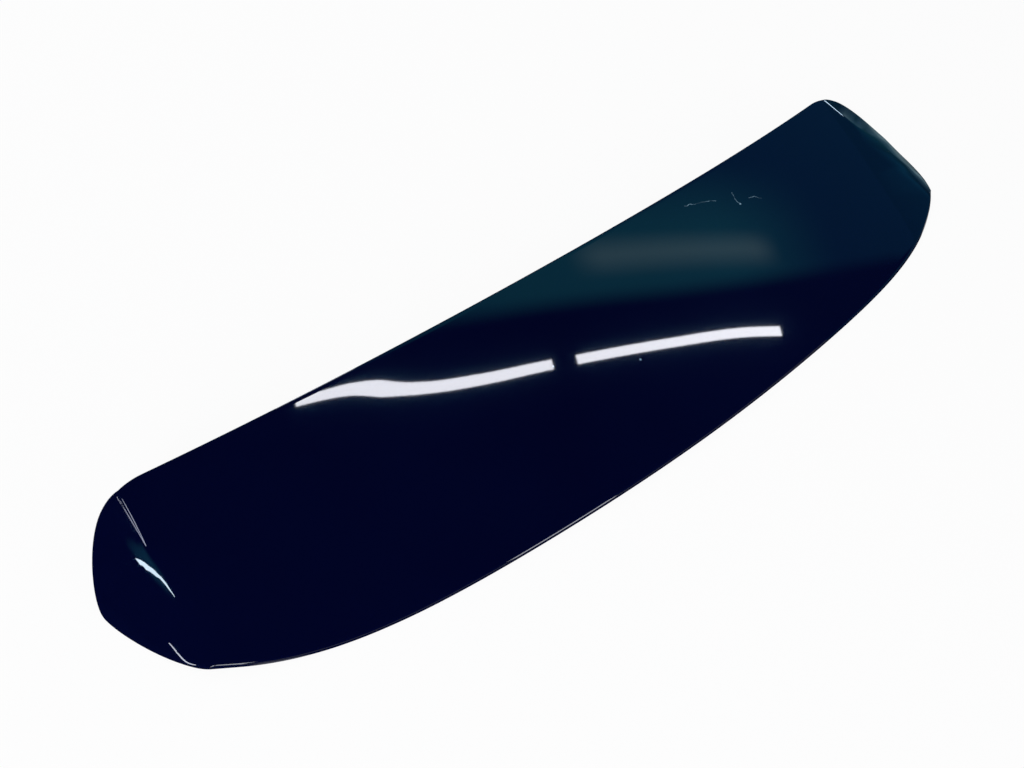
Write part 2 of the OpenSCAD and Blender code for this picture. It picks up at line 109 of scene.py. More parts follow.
CORNER_Y = lead_line(HALF)
REAR_X = HALF + CREASE_FLARE
REAR_Y = trail_line(REAR_X)
TIP_Y = CORNER_Y - TIP_BACK
TIP_LEAN, HOLD_FRONT = 0.16, 0.3 * TIP_BACK
CHEEK_END_X = REAR_X + CHEEK_END_WIDTH
END_SLOPE = trail_line(CHEEK_END_X + 1) - trail_line(CHEEK_END_X)
LOWER_RUN = TIP_Y - REAR_Y
HOLD_REAR, HOLD_END = 0.21 * LOWER_RUN, 0.2 * LOWER_RUN
CHEEK_FRONT = [
    (HALF, CORNER_Y),
    (HALF + 0.485 * CHEEK_REACH, CORNER_Y + 0.068 * TIP_BACK),
    (TIP_X + TIP_LEAN * HOLD_FRONT, TIP_Y + HOLD_FRONT),
    (TIP_X, TIP_Y),
]
CHEEK_LOWER = [
    (TIP_X, TIP_Y),
    (TIP_X - TIP_LEAN * HOLD_REAR, TIP_Y - HOLD_REAR),
    (CHEEK_END_X + HOLD_END, trail_line(CHEEK_END_X) + HOLD_END * END_SLOPE),
    (CHEEK_END_X, trail_line(CHEEK_END_X)),
]


def back_share(y):
    return (CORNER_Y - y) / (CORNER_Y - REAR_Y)


def crease_half_width(y):
    opened = (back_share(y) - CREASE_OPENS) / CREASE_OPENING
    return mix(CREASE_SHARP, CREASE_SOFT, smooth(opened))


def top_height(x, y):
    """Height of the painted surface, before the part is set down."""
    back = back_share(y)
    front = np.clip((FRONT_EASE_ENDS - back) / FRONT_EASE_RUN, 0, 1)
    rear = np.clip((back - REAR_EASE_STARTS) / REAR_EASE_RUN, 0, 1)
    rate = CHEEK_SLOPE - EASE_FRONT * front ** FRONT_EASE_POWER - EASE_REAR * rear ** 2
    width = crease_half_width(y)
    past = np.abs(x) - HALF - CREASE_FLARE * back
    bent = np.clip(past + width, 0, 2 * width) ** 2 / (4 * width) + np.maximum(0, past - width)
    return RAKE * y - CROWN * (x / HALF) ** 2 - CAMBER * (y / CHORD) ** 2 - rate * bent


def crease_at(v):
    x = HALF + CREASE_FLARE * v
    return np.stack([x, mix(lead_line(x), trail_line(x), v)], -1)


def row_width(v):
    return bezier(CHEEK_LOWER, v)[..., 0] - crease_at(v)[..., 0]


def cheek_plan(t, v):
    """Plan place on a cheek: t runs 0 to 1 down it and v from its front to its rear."""
    ends = np.array([CHEEK_FRONT[0], CHEEK_FRONT[3]])
    swell = bezier(CHEEK_FRONT, t) - mix(*ends, t[..., None])
    flat = mix(crease_at(v), bezier(CHEEK_LOWER, v), t[..., None])
    return flat + swell * (1 - v[..., None]) ** 3


def skin_plan(c, v):
    """Plan place of a point: c runs 0 to 1 over the top, 1 to 2 round the crease and 2 to 3
    down the cheek, and v runs 0 to 1 from the leading edge to the trailing edge."""
    crease, reach = crease_at(v), row_width(v)
    bend = np.minimum(crease_half_width(crease[..., 1]), ROW_SHARE_MAX * reach)
    across = bend * (2 * c - 3)
    top_x = np.where(c <= 1, c * (crease[..., 0] - bend), crease[..., 0] + across)
    top = np.stack([top_x, mix(lead_line(top_x), trail_line(top_x), v)], -1)
    t = np.clip(np.where(c <= 2, across / reach, mix(bend / reach, 1, c - 2)), 0, 1)
    return np.where((c <= 1.5)[..., None], top, cheek_plan(t, v))


def round_fall(t):
    return 1 - np.sqrt(1 - (1 - np.clip(t, 0, 1)) ** 2)


def lip_share(v):
    return np.minimum(CHEEK_LIP / row_width(v), ROW_SHARE_MAX)


def edge_fall(c, v):
    """Fall of the rounded lip that runs round the skin."""
    side = round_fall((3 - c) / lip_share(v)) * LIP_HEIGHT
    rear = round_fall((1 - v) * CHORD / LIP_WIDTH) * LIP_HEIGHT
    front = round_fall(v * CHORD / FRONT_LIP_WIDTH) * FRONT_LIP_HEIGHT
    return np.maximum(np.maximum(side, rear), front)


def linked(name, data):
    """A new object of the scene, at the origin."""
    made = bpy.data.objects.new(name, data)
    bpy.context.scene.collection.objects.link(made)
    return made


def finished(mesh, name, node, materials, sharp_deg=35.0):
    """A piece that stands for a node, smoothly shaded up to an angle, its faces outwards."""
    bm = bmesh.new()
    bm.from_mesh(mesh)
    bmesh.ops.remove_doubles(bm, verts=bm.verts, dist=1e-6)
    bmesh.ops.recalc_face_normals(bm, faces=bm.faces)
    bm.to_mesh(mesh)
    bm.free()
    for material in materials:
        mesh.materials.append(material)
    mesh.shade_smooth()
    mesh.set_sharp_from_angle(angle=math.radians(sharp_deg))
    made = linked(name, mesh)
    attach(made, "root")
    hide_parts(node)
    return made


def settle():
    """What the source adds to y and z to centre the part and set it down, from the frame."""
    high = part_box("outer_skin")[1]
    c, v = np.meshgrid(np.linspace(0, 3, 300), np.linspace(0, 1, 200), indexing="ij")
    plan = skin_plan(c, v)
    crest = (top_height(plan[..., 0], plan[..., 1]) - edge_fall(c, v)).max()
    return high.y / MM - plan[..., 1].max(), high.z / MM - crest


SHIFT_Y, LIFT = settle()
FRONT_REACH = bezier(CHEEK_FRONT, np.linspace(0, 1, 400))[:, 1].max()

# Rows of the skin's mesh over its front lip, top and rear lip, and the columns of one side over
# the top, which crowd toward the crease, the bend, the cheek and its lip
FRONT_LIP_ROWS, TOP_ROWS, REAR_LIP_ROWS = 7, 62, 9
TOP_COLUMNS, COLUMN_CROWDING, BEND_COLUMNS, CHEEK_COLUMNS, LIP_COLUMNS = 96, 1.25, 19, 22, 11


def under_skin(x, y, depth):
    """Height at a depth under the painted surface, for a place on the part as it lies."""
    y = y - SHIFT_Y
    slope_x = top_height(x + 0.5, y) - top_height(x - 0.5, y)
    slope_y = top_height(x, y + 0.5) - top_height(x, y - 0.5)
    steep = np.sqrt(1 + slope_x ** 2 + slope_y ** 2)
    return top_height(x, y) + LIFT - depth * steep


def lip_steps(count):
    """Shares of a lip's width, from its rim to where it ends, for even steps round it."""
    return 1 - np.cos(np.linspace(0, math.pi / 2, count))


def skin_rows():
    """Shares v of the rows, close together where the lips turn over."""
    front = FRONT_LIP_WIDTH * lip_steps(FRONT_LIP_ROWS)
    rear = CHORD - LIP_WIDTH * lip_steps(REAR_LIP_ROWS)
    top = np.linspace(front[-1], rear[-1], TOP_ROWS)[1:-1]
    return np.concatenate([front, top, rear[::-1]]) / CHORD


def skin_columns(v):
    """Skin coordinates c of one side, the middle first, with a close set in bend and lip."""
    top = 1 - (1 - np.linspace(0, 1, TOP_COLUMNS)) ** COLUMN_CROWDING
    bend = np.linspace(1, 2, BEND_COLUMNS)[1:]
    cheek = mix(2, 3 - lip_share(v), np.linspace(0, 1, CHEEK_COLUMNS)[1:])
    lip = 3 - lip_share(v) * lip_steps(LIP_COLUMNS)[-2::-1]
    return np.concatenate([top, bend, cheek, lip])


def painted_skin(paint, bare):
    """The whole moulding: a sheet above, a sheet below and a rim between them."""
    rows = skin_rows()
    c = np.array([skin_columns(v) for v in rows]).T
    v = np.broadcast_to(rows, c.shape)
    plan = skin_plan(c, v)
    x, y = plan[..., 0], plan[..., 1]
    above = np.stack([x, y + SHIFT_Y, top_height(x, y) + LIFT - edge_fall(c, v)], -1)
    inner_x = x * (1 - SKIN_WALL / TIP_X)
    inner_y = (y + SHIFT_Y) * (1 - 2 * SKIN_WALL / (CHORD + FRONT_REACH))
    below = np.stack([inner_x, inner_y, under_skin(inner_x, inner_y, SKIN_WALL)], -1)
    flip = np.array([-1, 1, 1])
    sheets = [np.concatenate([s[:0:-1] * flip, s]) for s in (above, below)]
    nc, nr = sheets[0].shape[:2]
    points = np.concatenate([s.reshape(-1, 3) for s in sheets]) * MM
    index = np.arange(nc * nr).reshape(nc, nr)
    quads = np.stack([index[:-1, :-1], index[1:, :-1], index[1:, 1:], index[:-1, 1:]], -1)
    quads = quads.reshape(-1, 4)
    loop = np.concatenate([index[:, 0], index[-1, 1:], index[-2::-1, -1], index[0, -2:0:-1]])
    after = np.roll(loop, -1)
    rim = np.stack([after, loop, loop + nc * nr, after + nc * nr], -1)
    faces = np.concatenate([quads, quads[:, ::-1] + nc * nr, rim])
    mesh = bpy.data.meshes.new("painted_skin")
    mesh.from_pydata(points.tolist(), [], faces.tolist())
    inner = np.zeros(len(faces), np.int32)
    inner[len(quads):2 * len(quads)] = 1
    mesh.polygons.foreach_set("material_index", inner)
    finished(mesh, "painted_skin", "outer_skin", [paint, bare])


# Hardware on the side that faces the tailgate. Its sizes in millimetres are those in the
# source of the part, and its places come from the frame.
STUD_SPANS = (760.0, 300.0)
STUD_R, NECK_R, STUD_HEAD_R, STUD_HEAD_T = 3.0, 2.8, 9.0, 2.5
NECK_BELOW, STUD_TIP, THREAD_PITCH, THREAD_DEPTH = 2.4, 1.0, 1.0, 0.6
RETAINER_RIM_T, RETAINER_DISH = 0.8, 1.0
BORE_R, DISH_R, RIM_R = NECK_R + 0.05, STUD_R + 2.5, STUD_R + 4.5
GASKET_R, GASKET_BORE_R = 15.5, 8.5
BOND, CHEEK_PAD_T, PAD_ACROSS, PAD_ALONG = 0.3, 4.0, (0.4, 0.8), (0.12, 0.52)
CARRIER_HALF, CARRIER_DEPTH, FLANGE_WIDTH = HALF - 22.0, 26.0, 14.0
FRONT_GAP, REAR_GAP, RAMP, END_SHALLOW = 5.0, 14.0, 11.9, 0.35
BEAD_PITCH, BEAD_DEPTH, BEAD_EDGE, BEAD_FLANK = 75.0, 3.0, 12.0, 2.0
FLANGE_DROP, FLOOR_DROP = SKIN_WALL + BOND, 2.75
SEAL_INSET, SEAL_WIDTH, SEAL_HEIGHT, SEAL_SIDE = 2.5, 9.0, 6.0, 0.45
SEAL_DROP, SEAL_HALF = FLOOR_DROP + 0.1, 495.0
TOWER_R, TOWER_WALL, TOWER_PROUD, STUD_CLEAR, GUSSET_REACH = 16.0, 3.0, 5.0, 0.3, 12.0
PIN_R, PIN_TIP, PIN_LENGTH, PIN_BOSS_R = 4.0, 1.5, 12.0, 7.0
PIN_SPAN, PIN_BACK = 530.0, 18.0
BUFFER_R, BUFFER_HEAD_T, BUFFER_STEM_R, BARB_R, BARB_HEIGHT = 10.0, 7.0, 3.9, 5.2, 2.7
SEAT_R, SEAT_HOLE_R, SEAT_PROUD = 11.0, 4.0, 2.0
CLIP_WIDTH, CLIP_STEEL, CLIP_HUG = 14.0, 0.8, 0.05
CLIP_BARB, CLIP_BARB_Z, CLIP_NECK_Z, CLIP_HEIGHT = 3.4, 8.0, 12.5, 14.0
BLADE_T, BLADE_MARGIN = 3.0, 2.0


def middle(node):
    low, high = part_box(node)
    return (low + high) / 2 / MM


def foot(node):
    """Height of a node's lowest point."""
    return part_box(node)[0].z / MM


STUD_Y = middle("mounting_studs").y
PAD_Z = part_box("stud_gaskets")[1].z / MM
STUD_HEAD_Z = PAD_Z + TOWER_WALL


def made_mesh(name, points, faces):
    """A mesh from points in millimetres, its doubles merged and its faces outwards."""
    mesh = bpy.data.meshes.new(name)
    mesh.from_pydata((np.asarray(points, float) * MM).tolist(), [], [tuple(f) for f in faces])
    bm = bmesh.new()
    bm.from_mesh(mesh)
    bmesh.ops.remove_doubles(bm, verts=bm.verts, dist=1e-7)
    bmesh.ops.dissolve_degenerate(bm, edges=bm.edges, dist=1e-8)
    bmesh.ops.recalc_face_normals(bm, faces=bm.faces)
    bm.to_mesh(mesh)
    bm.free()
    return mesh


def lofted(rings, closed_along=False):
    """Points and faces of a skin over rings of equal length. Its ends are closed by faces
    unless the last ring joins the first."""
    rings = np.asarray(rings, float)
    n, m = rings.shape[:2]
    index = np.arange(n * m).reshape(n, m)
    following = np.roll(index, -1, 0) if closed_along else index[1:]
    here = index if closed_along else index[:-1]
    quads = np.stack([here, np.roll(here, -1, 1), np.roll(following, -1, 1), following], -1)
    faces = quads.reshape(-1, 4).tolist()
    if not closed_along:
        faces += [index[0, ::-1].tolist(), index[-1].tolist()]
    return rings.reshape(-1, 3), faces


def turned(profile, steps=48, closed=False, place=(0, 0)):
    """A shape turned round an upright line at a place, from (radius, height) points. A closed
    profile makes a ring."""
    angles = np.linspace(0, 2 * math.pi, steps, endpoint=False)
    rings = [[(r * math.cos(a), r * math.sin(a), z) for r, z in profile] for a in angles]
    points, faces = lofted(np.swapaxes(np.array(rings), 0, 1), closed_along=closed)
    return points + np.array([*place, 0]), faces


def rounded(points, radius, steps=4, closed=False):
    """A line of (x, y) points with its corners cut to arcs of about that radius."""
    points = [np.array(p, float) for p in points]
    n = len(points)
    out = []
    for i, p in enumerate(points):
        if not closed and i in (0, n - 1):
            out.append(p)
            continue
        to_a, to_b = points[i - 1] - p, points[(i + 1) % n] - p
        lengths = np.linalg.norm(to_a), np.linalg.norm(to_b)
        reach = min(radius, lengths[0] * 0.45, lengths[1] * 0.45)
        start, end = p + to_a / lengths[0] * reach, p + to_b / lengths[1] * reach
        for t in np.linspace(0, 1, steps + 1):
            out.append((1 - t) ** 2 * start + 2 * (1 - t) * t * p + t * t * end)
    return out


def fastener_tree():
    """Geometry Nodes tree that repeats one fastener at the four studs."""
    tree = bpy.data.node_groups.new("two_pairs_of_fasteners", "GeometryNodeTree")
    for name, kind in (
        ("Fastener", "Geometry"), ("Outer Span", "Float"), ("Inner Span", "Float"),
        ("Place", "Vector"), ("Turn Seed", "Int"), ("Material", "Material"),
    ):
        tree.interface.new_socket(name=name, in_out="INPUT", socket_type="NodeSocket" + kind)
    tree.interface.new_socket(name="Fasteners", in_out="OUTPUT", socket_type="NodeSocketGeometry")
    given = add(tree, "NodeGroupInput").outputs
    rows = []
    for span in ("Outer Span", "Inner Span"):
        half = add(tree, "ShaderNodeMath", {0: given[span], 1: 0.5}, operation="MULTIPLY")
        side = add(tree, "ShaderNodeCombineXYZ", {0: half})
        ends = [
            add(tree, "ShaderNodeVectorMath", {0: given["Place"], 1: side}, operation=way)
            for way in ("SUBTRACT", "ADD")
        ]
        rows.append(add(
            tree, "GeometryNodeMeshLine",
            {"Count": 2, "Start Location": ends[0], "Offset": ends[1]}, mode="END_POINTS",
        ))
    points = add(tree, "GeometryNodeJoinGeometry")
    for row in rows:
        tree.links.new(row.outputs[0], points.inputs[0])
    turn = add(
        tree, "FunctionNodeRandomValue",
        {"Min": 0.0, "Max": 2 * math.pi, "Seed": given["Turn Seed"]}, data_type="FLOAT",
    )
    # The float outputs of this node come after its vector one
    angle = next(s for s in turn.outputs if s.enabled)
    about = add(tree, "ShaderNodeCombineXYZ", {2: angle})
    turned_by = add(tree, "FunctionNodeEulerToRotation", {0: about})
    placed = add(
        tree, "GeometryNodeInstanceOnPoints",
        {"Points": points, "Instance": given["Fastener"], "Rotation": turned_by},
    )
    real = add(tree, "GeometryNodeRealizeInstances", {0: placed})
    finish = add(tree, "GeometryNodeSetMaterial", {"Geometry": real, "Material": given["Material"]})
    add(tree, "NodeGroupOutput", {0: finish})
    return tree


def at_studs(tree, name, node, shape, base_z, material, seed):
    """One piece of four fasteners. The tree's result is kept as a plain mesh."""
    mesh = made_mesh(name, *shape)
    mesh.materials.append(material)
    made = linked(name, mesh)
    repeat = made.modifiers.new("fasteners", "NODES")
    repeat.node_group = tree
    values = {
        "Outer Span": STUD_SPANS[0] * MM, "Inner Span": STUD_SPANS[1] * MM,
        "Place": (0.0, STUD_Y * MM, base_z * MM), "Turn Seed": seed, "Material": material,
    }
    for item in tree.interface.items_tree:
        if item.name in values:
            repeat[item.identifier] = values[item.name]
    graph = bpy.context.evaluated_depsgraph_get()
    plain = bpy.data.meshes.new_from_object(made.evaluated_get(graph), depsgraph=graph)
    bpy.data.objects.remove(made)
    return finished(plain, name, node, [] if plain.materials else [material], 32.0)


def threaded_stud():
    """A stud that hangs from its head at z 0: head, neck, rolled thread and tapered point."""
    steps = 32
    tip = foot("mounting_studs") - STUD_HEAD_Z
    low, high = tip + STUD_TIP, -TOWER_WALL - NECK_BELOW
    root = STUD_R - THREAD_DEPTH
    # One turn of the thread: where along the pitch it starts to rise, and how high it is there
    rises, crests = (0.0, 0.12, 0.5, 0.88), (0.0, 0.0, 1.0, 0.0)
    per_turn = len(rises)
    turns = int((high - low) / THREAD_PITCH) + 2
    rings = []
    for i in range(steps):
        a = 2 * math.pi * i / steps
        ring = []
        for k in range(-per_turn, per_turn * (turns + 1)):
            z = low + THREAD_PITCH * (k // per_turn + rises[k % per_turn] + i / steps)
            held = min(max(z, low), high)
            fade = np.clip(min(held - low, high - held) / (0.9 * THREAD_PITCH), 0, 1)
            r = root + THREAD_DEPTH * crests[k % per_turn] * fade
            ring.append((r * math.cos(a), r * math.sin(a), held))
        rings.append(ring)
    rings = np.array(rings)
    n = rings.shape[1]
    faces = []
    for i in range(steps):
        shift = per_turn if i == steps - 1 else 0
        j = (i + 1) % steps
        faces += [
            (i * n + k, j * n + k + shift, j * n + k + 1 + shift, i * n + k + 1)
            for k in range(n - 1 - shift)
        ]
    points = [rings.reshape(-1, 3)]
    total = len(points[0])
    for profile in (
        [(0.0, tip), (STUD_R - 1.35, tip), (root, low)],
        [(root, high), (NECK_R - 0.1, high), (NECK_R, high + 0.2), (NECK_R, -0.3),
            (NECK_R + 0.3, 0), (STUD_HEAD_R - 0.4, 0), (STUD_HEAD_R, 0.4),
            (STUD_HEAD_R, STUD_HEAD_T - 0.8), (STUD_HEAD_R - 0.8, STUD_HEAD_T),
            (0.0, STUD_HEAD_T)],
    ):
        more, made = turned(profile, steps)
        # The end faces would lie inside, so only the sides are kept
        faces += [tuple(f + total for f in face) for face in made if len(face) == 4]
        points.append(more)
        total += len(more)
    return np.concatenate(points), faces


def retainer():
    """A dished push-on washer with six petals round its bore, its rim's foot at z 0."""
    steps, petals, slot_share, slot_r = 96, 6, 0.13, STUD_R + 1.7
    rings = []
    for i in range(steps):
        inner = slot_r if (i * petals / steps) % 1 < slot_share else BORE_R
        a = 2 * math.pi * i / steps
        fall = RETAINER_DISH * (DISH_R - inner) / (DISH_R - BORE_R)
        profile = rounded(
            [(inner, -fall), (inner, RETAINER_RIM_T - fall), (DISH_R, RETAINER_RIM_T),
                (RIM_R, RETAINER_RIM_T), (RIM_R, 0), (DISH_R, 0)], 0.25, 2, closed=True,
        )
        rings.append([(r * math.cos(a), r * math.sin(a), z) for r, z in profile])
    return lofted(rings, closed_along=True)


def gasket():
    """A soft foam ring, its edges rounded by the die and its sides a little full."""
    height = PAD_Z - foot("stud_gaskets")
    profile = rounded(
        [(GASKET_BORE_R, 0), (GASKET_R - 0.25, 0), (GASKET_R, height / 2),
            (GASKET_R - 0.25, height), (GASKET_BORE_R, height),
            (GASKET_BORE_R + 0.2, height / 2)], 0.8, 3, closed=True,
    )
    return turned(profile, 64, closed=True)


def blade_foot(clip):
    """Height of the lower edge of a clip's blade."""
    return foot(clip) + CLIP_HUG + CLIP_STEEL


def side_clip(node, material):
    """A folded strip of spring steel with round bends, on a blade of the carrier."""
    side, fold = BLADE_T / 2 + CLIP_HUG + CLIP_STEEL / 2, -CLIP_HUG - CLIP_STEEL / 2
    leg = [
        (BLADE_T / 2 + 0.35, fold), (side + 0.8, 1.2), (side + CLIP_BARB, CLIP_BARB_Z),
        (side, CLIP_NECK_Z), (side, CLIP_HEIGHT),
    ]
    line = rounded([(-y, z) for y, z in leg[::-1]] + leg, 1.6, 5)
    line = [p for i, p in enumerate(line) if i == 0 or np.linalg.norm(p - line[i - 1]) > 0.05]
    # The strip's section, its corners eased: places across it in millimetres, and shares of
    # half its thickness
    half, ease = CLIP_WIDTH / 2, 0.12
    section = [(-half, -1 + ease), (-half + ease, -1), (half - ease, -1), (half, -1 + ease)]
    section += [(-across, -out) for across, out in section]
    x, y, _ = middle(node)
    base = blade_foot(node)
    rings = []
    for i, p in enumerate(line):
        run = line[min(i + 1, len(line) - 1)] - line[max(i - 1, 0)]
        out = np.array([-run[1], run[0]]) / np.linalg.norm(run) * CLIP_STEEL / 2
        rings.append([
            (x + across, y + p[0] + out[0] * t, base + p[1] + out[1] * t)
            for across, t in section
        ])
    name = node + "_spring"
    finished(made_mesh(name, *lofted(rings)), name, node, [material])


def foam_piece(name, node, rings, material):
    made = finished(made_mesh(name, *lofted(rings)), name, node, [material], 50.0)


def front_seal(material):
    """The seal under the front flange: flat where it is stuck on, round below."""
    steps, stations = 15, 181
    turn = np.linspace(0, math.pi, steps)
    across = 0.5 - 0.5 * np.cos(turn)
    across = np.concatenate([across, across[-2:0:-1]])
    bulge = mix(SEAL_SIDE, 1, np.sin(turn) ** 0.8)
    # Foam is thinner at its two edges, where it is pressed on
    bulge[[0, -1]] = 0.2
    fall = np.concatenate([bulge, np.zeros(steps - 2)])
    rings = []
    for x in np.linspace(-SEAL_HALF, SEAL_HALF, stations):
        y = lead_line(abs(x)) + SHIFT_Y - FRONT_GAP - SEAL_INSET - across * SEAL_WIDTH
        z = under_skin(x, y, FLANGE_DROP) - SEAL_DROP - fall * SEAL_HEIGHT
        rings.append(np.stack([np.full_like(y, x), y, z], -1))
    foam_piece("front_seal_foam", "front_seal", rings, material)


def cheek_pad(side, node, material):
    """A foam pad inside a cheek, die-cut, with soft lower edges."""
    down, along = np.arange(23), np.arange(41)
    t = mix(*PAD_ACROSS, down / down[-1])
    v = mix(*PAD_ALONG, along / along[-1])
    plan = cheek_plan(t[:, None], v[None])
    x, y = plan[..., 0], plan[..., 1] + SHIFT_Y
    # Distance from the pad's edge, where a step down the cheek is 1.2 mm and one along it 2 mm
    edge = np.minimum(
        np.minimum(down, down[::-1])[:, None] * 1.2, np.minimum(along, along[::-1])[None] * 2.0
    )
    soft, thinnest = 2.4, 0.55
    thick = CHEEK_PAD_T * mix(thinnest, 1, np.sqrt(1 - (1 - np.clip(edge / soft, 0, 1)) ** 2))
    above = under_skin(x, y, SKIN_WALL + BOND)
    upper, lower = (np.stack([side * x, y, z], -1) for z in (above, above - thick))
    rings = [np.concatenate([upper[:, j], lower[::-1, j]]) for j in along]
    foam_piece(node + "_foam", node, rings, material)


def rubber_buffer(node, material):
    """A turned rubber buffer: ribbed head, stem through the carrier and a barb above it."""
    low, top = foot(node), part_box(node)[1].z / MM
    seat, barb = low + BUFFER_HEAD_T, top - BARB_HEIGHT
    nose = rounded([
        (BUFFER_R - 3.4, low), (BUFFER_R - 1.2, low + 0.6), (BUFFER_R, low + 3),
        (BUFFER_R, low + 4.4),
    ], 1.6, 4)
    profile = [
        (0.0, low), *nose, (BUFFER_R - 0.5, low + 4.7), (BUFFER_R - 0.5, low + 5.2),
        (BUFFER_R, low + 5.5), (BUFFER_R, seat - 0.4), (BUFFER_R - 0.4, seat),
        (BUFFER_STEM_R, seat), (BUFFER_STEM_R, barb), (BARB_R - 0.1, barb),
        (BARB_R, barb + 0.2), (BARB_R - 2, top), (0.0, top),
    ]
    name = node + "_rubber"
    shape = turned(profile, 56, place=middle(node)[:2])
    finished(made_mesh(name, *shape), name, node, [material])


def carrier_depth_at():
    """Depth of the hat section along the span, with its bead edges rounded by the mould."""
    inner = CARRIER_HALF - FLANGE_WIDTH - RAMP
    count = int((inner - BEAD_PITCH / 2) // BEAD_PITCH)
    knots = [0.0]
    for k in range(count + 1):
        m = (k + 0.5) * BEAD_PITCH
        knots += [
            m - BEAD_EDGE - BEAD_FLANK, m - BEAD_EDGE + 0.01, m + BEAD_EDGE - 0.01,
            m + BEAD_EDGE + BEAD_FLANK,
        ]
    knots = np.array(knots + [inner, inner + RAMP / 2, inner + RAMP, CARRIER_HALF])
    bead = np.abs(knots % BEAD_PITCH - BEAD_PITCH / 2) < BEAD_EDGE
    depth = smooth((CARRIER_HALF - FLANGE_WIDTH - knots) / RAMP) * (
        CARRIER_DEPTH * (1 - END_SHALLOW * (knots / CARRIER_HALF) ** 2) - BEAD_DEPTH * bead
    )
    # The rounding is a mean, weighted to its middle, over 3.5 mm of the span
    window = 15
    fine = np.arange(-CARRIER_HALF, CARRIER_HALF + 0.1, 0.25)
    kernel = np.bartlett(window)
    flat = np.pad(np.interp(np.abs(fine), knots, depth), window // 2, mode="edge")
    return knots, fine, np.convolve(flat, kernel / kernel.sum(), mode="valid")


def eased_ramp(t, ease):
    """A ramp from 0 to 1 whose two corners are rounded over that share."""
    t = np.clip(t, -ease, 1 + ease)
    low = np.clip(t + ease, 0, 2 * ease) ** 2 / (4 * ease) + np.maximum(t - ease, 0)
    return low - np.clip(t - 1 + ease, 0, 2 * ease) ** 2 / (4 * ease)


CARRIER_KNOTS, CARRIER_FINE, CARRIER_DEPTHS = carrier_depth_at()


def carrier_run(x):
    return lead_line(abs(x)) - trail_line(abs(x)) - FRONT_GAP - REAR_GAP


def carrier_top(x, from_front):
    """Height of the carrier's upper face at distances from its front edge, and its y."""
    run = carrier_run(x)
    y = lead_line(abs(x)) + SHIFT_Y - FRONT_GAP - from_front
    floor_run = run - 2 * FLANGE_WIDTH - RAMP
    share = eased_ramp((from_front - FLANGE_WIDTH) / RAMP, 0.14) * eased_ramp(
        (run - from_front - FLANGE_WIDTH) / floor_run, 0.014
    )
    depth = np.interp(x, CARRIER_FINE, CARRIER_DEPTHS)
    return y, under_skin(x, y, FLANGE_DROP) - depth * share


def floor_height(x, y):
    return float(carrier_top(x, np.array(lead_line(abs(x)) + SHIFT_Y - FRONT_GAP - y))[1])


def carrier_panel():
    """The hat-section panel, column by column, with a small ease on its lower rim."""
    near = np.array([-2.4, -1.2, 0.0, 1.2, 2.4])
    side = np.concatenate([(CARRIER_KNOTS[1:-1, None] + near).ravel(), np.arange(0, 480, 9)])
    side = np.unique(np.round(side, 2))
    side = side[(side > 0.5) & (side < CARRIER_HALF - 1)]
    xs = np.concatenate([[-CARRIER_HALF], -side[::-1], [0], side, [CARRIER_HALF]])
    wall_foot, bend, rim = FLANGE_WIDTH + RAMP, np.linspace(-2.2, 2.2, 7), 0.5
    rings = []
    for x in xs:
        run = carrier_run(x)
        rear = run - FLANGE_WIDTH
        steps = np.concatenate([
            [0, rim, 6], FLANGE_WIDTH + bend, wall_foot + bend,
            np.linspace(wall_foot + 7, rear - 7, 24), rear + bend, [run - 6, run - rim, run],
        ])
        y, z = carrier_top(x, steps)
        drop = np.full_like(steps, FLOOR_DROP)
        drop[[0, -1]] -= rim
        above, below = (np.stack([np.full_like(y, x), y, h], -1) for h in (z, z - drop))
        rings.append(np.concatenate([above, below[::-1]]))
    return lofted(rings)


def stud_tower(x):
    """A round tower, open above, whose floor carries a stud's head."""
    top = floor_height(x, STUD_Y) + TOWER_PROUD
    hole, bore = STUD_R + STUD_CLEAR, TOWER_R - TOWER_WALL
    profile = rounded(
        [(hole, PAD_Z), (TOWER_R, PAD_Z), (TOWER_R, top), (bore, top), (bore, STUD_HEAD_Z),
            (hole, STUD_HEAD_Z)], 0.9, 3, closed=True,
    )
    return turned(profile, 64, closed=True, place=(x, STUD_Y))


def gusset(x, degrees):
    """A thin web from a tower's side to the floor, its long edge eased."""
    a = math.radians(degrees)
    along, side = np.array([math.cos(a), math.sin(a), 0]), np.array([-math.sin(a), math.cos(a), 0])
    near, far = TOWER_R - TOWER_WALL / 2, TOWER_R + GUSSET_REACH

    def root(reach):
        return floor_height(x + reach * along[0], STUD_Y + reach * along[1]) - FLOOR_DROP / 2

    outline = [(near, PAD_Z + 1), (TOWER_R + 1, PAD_Z + 1), (far, root(far)), (near, root(near))]
    centre = np.mean(outline, 0)
    rings = []
    for t, inset in ((-1.0, 0.35), (-0.65, 0.0), (0.65, 0.0), (1.0, 0.35)):
        ring = []
        for corner in rounded(outline, 1.0, 3, closed=True):
            r, z = corner - (corner - centre) * inset / 8
            ring.append(np.array([x, STUD_Y, z]) + along * r + side * t)
        rings.append(ring)
    return lofted(rings)


def locating_pin(x):
    """A tapered pin below a boss, which finds its hole in the tailgate."""
    y, low = STUD_Y - PIN_BACK, PAD_Z - PIN_LENGTH
    top = floor_height(x, y) - 1
    flat_r, tip_r = 2.1, 2.6
    outline = rounded([
        (flat_r, low), (tip_r, low), (PIN_R, low + PIN_TIP), (PIN_R, PAD_Z), (PIN_BOSS_R, PAD_Z),
        (PIN_BOSS_R, top),
    ], 0.6, 3)
    return turned([(0.0, low), *outline, (0.0, top)], 48, place=(x, y))


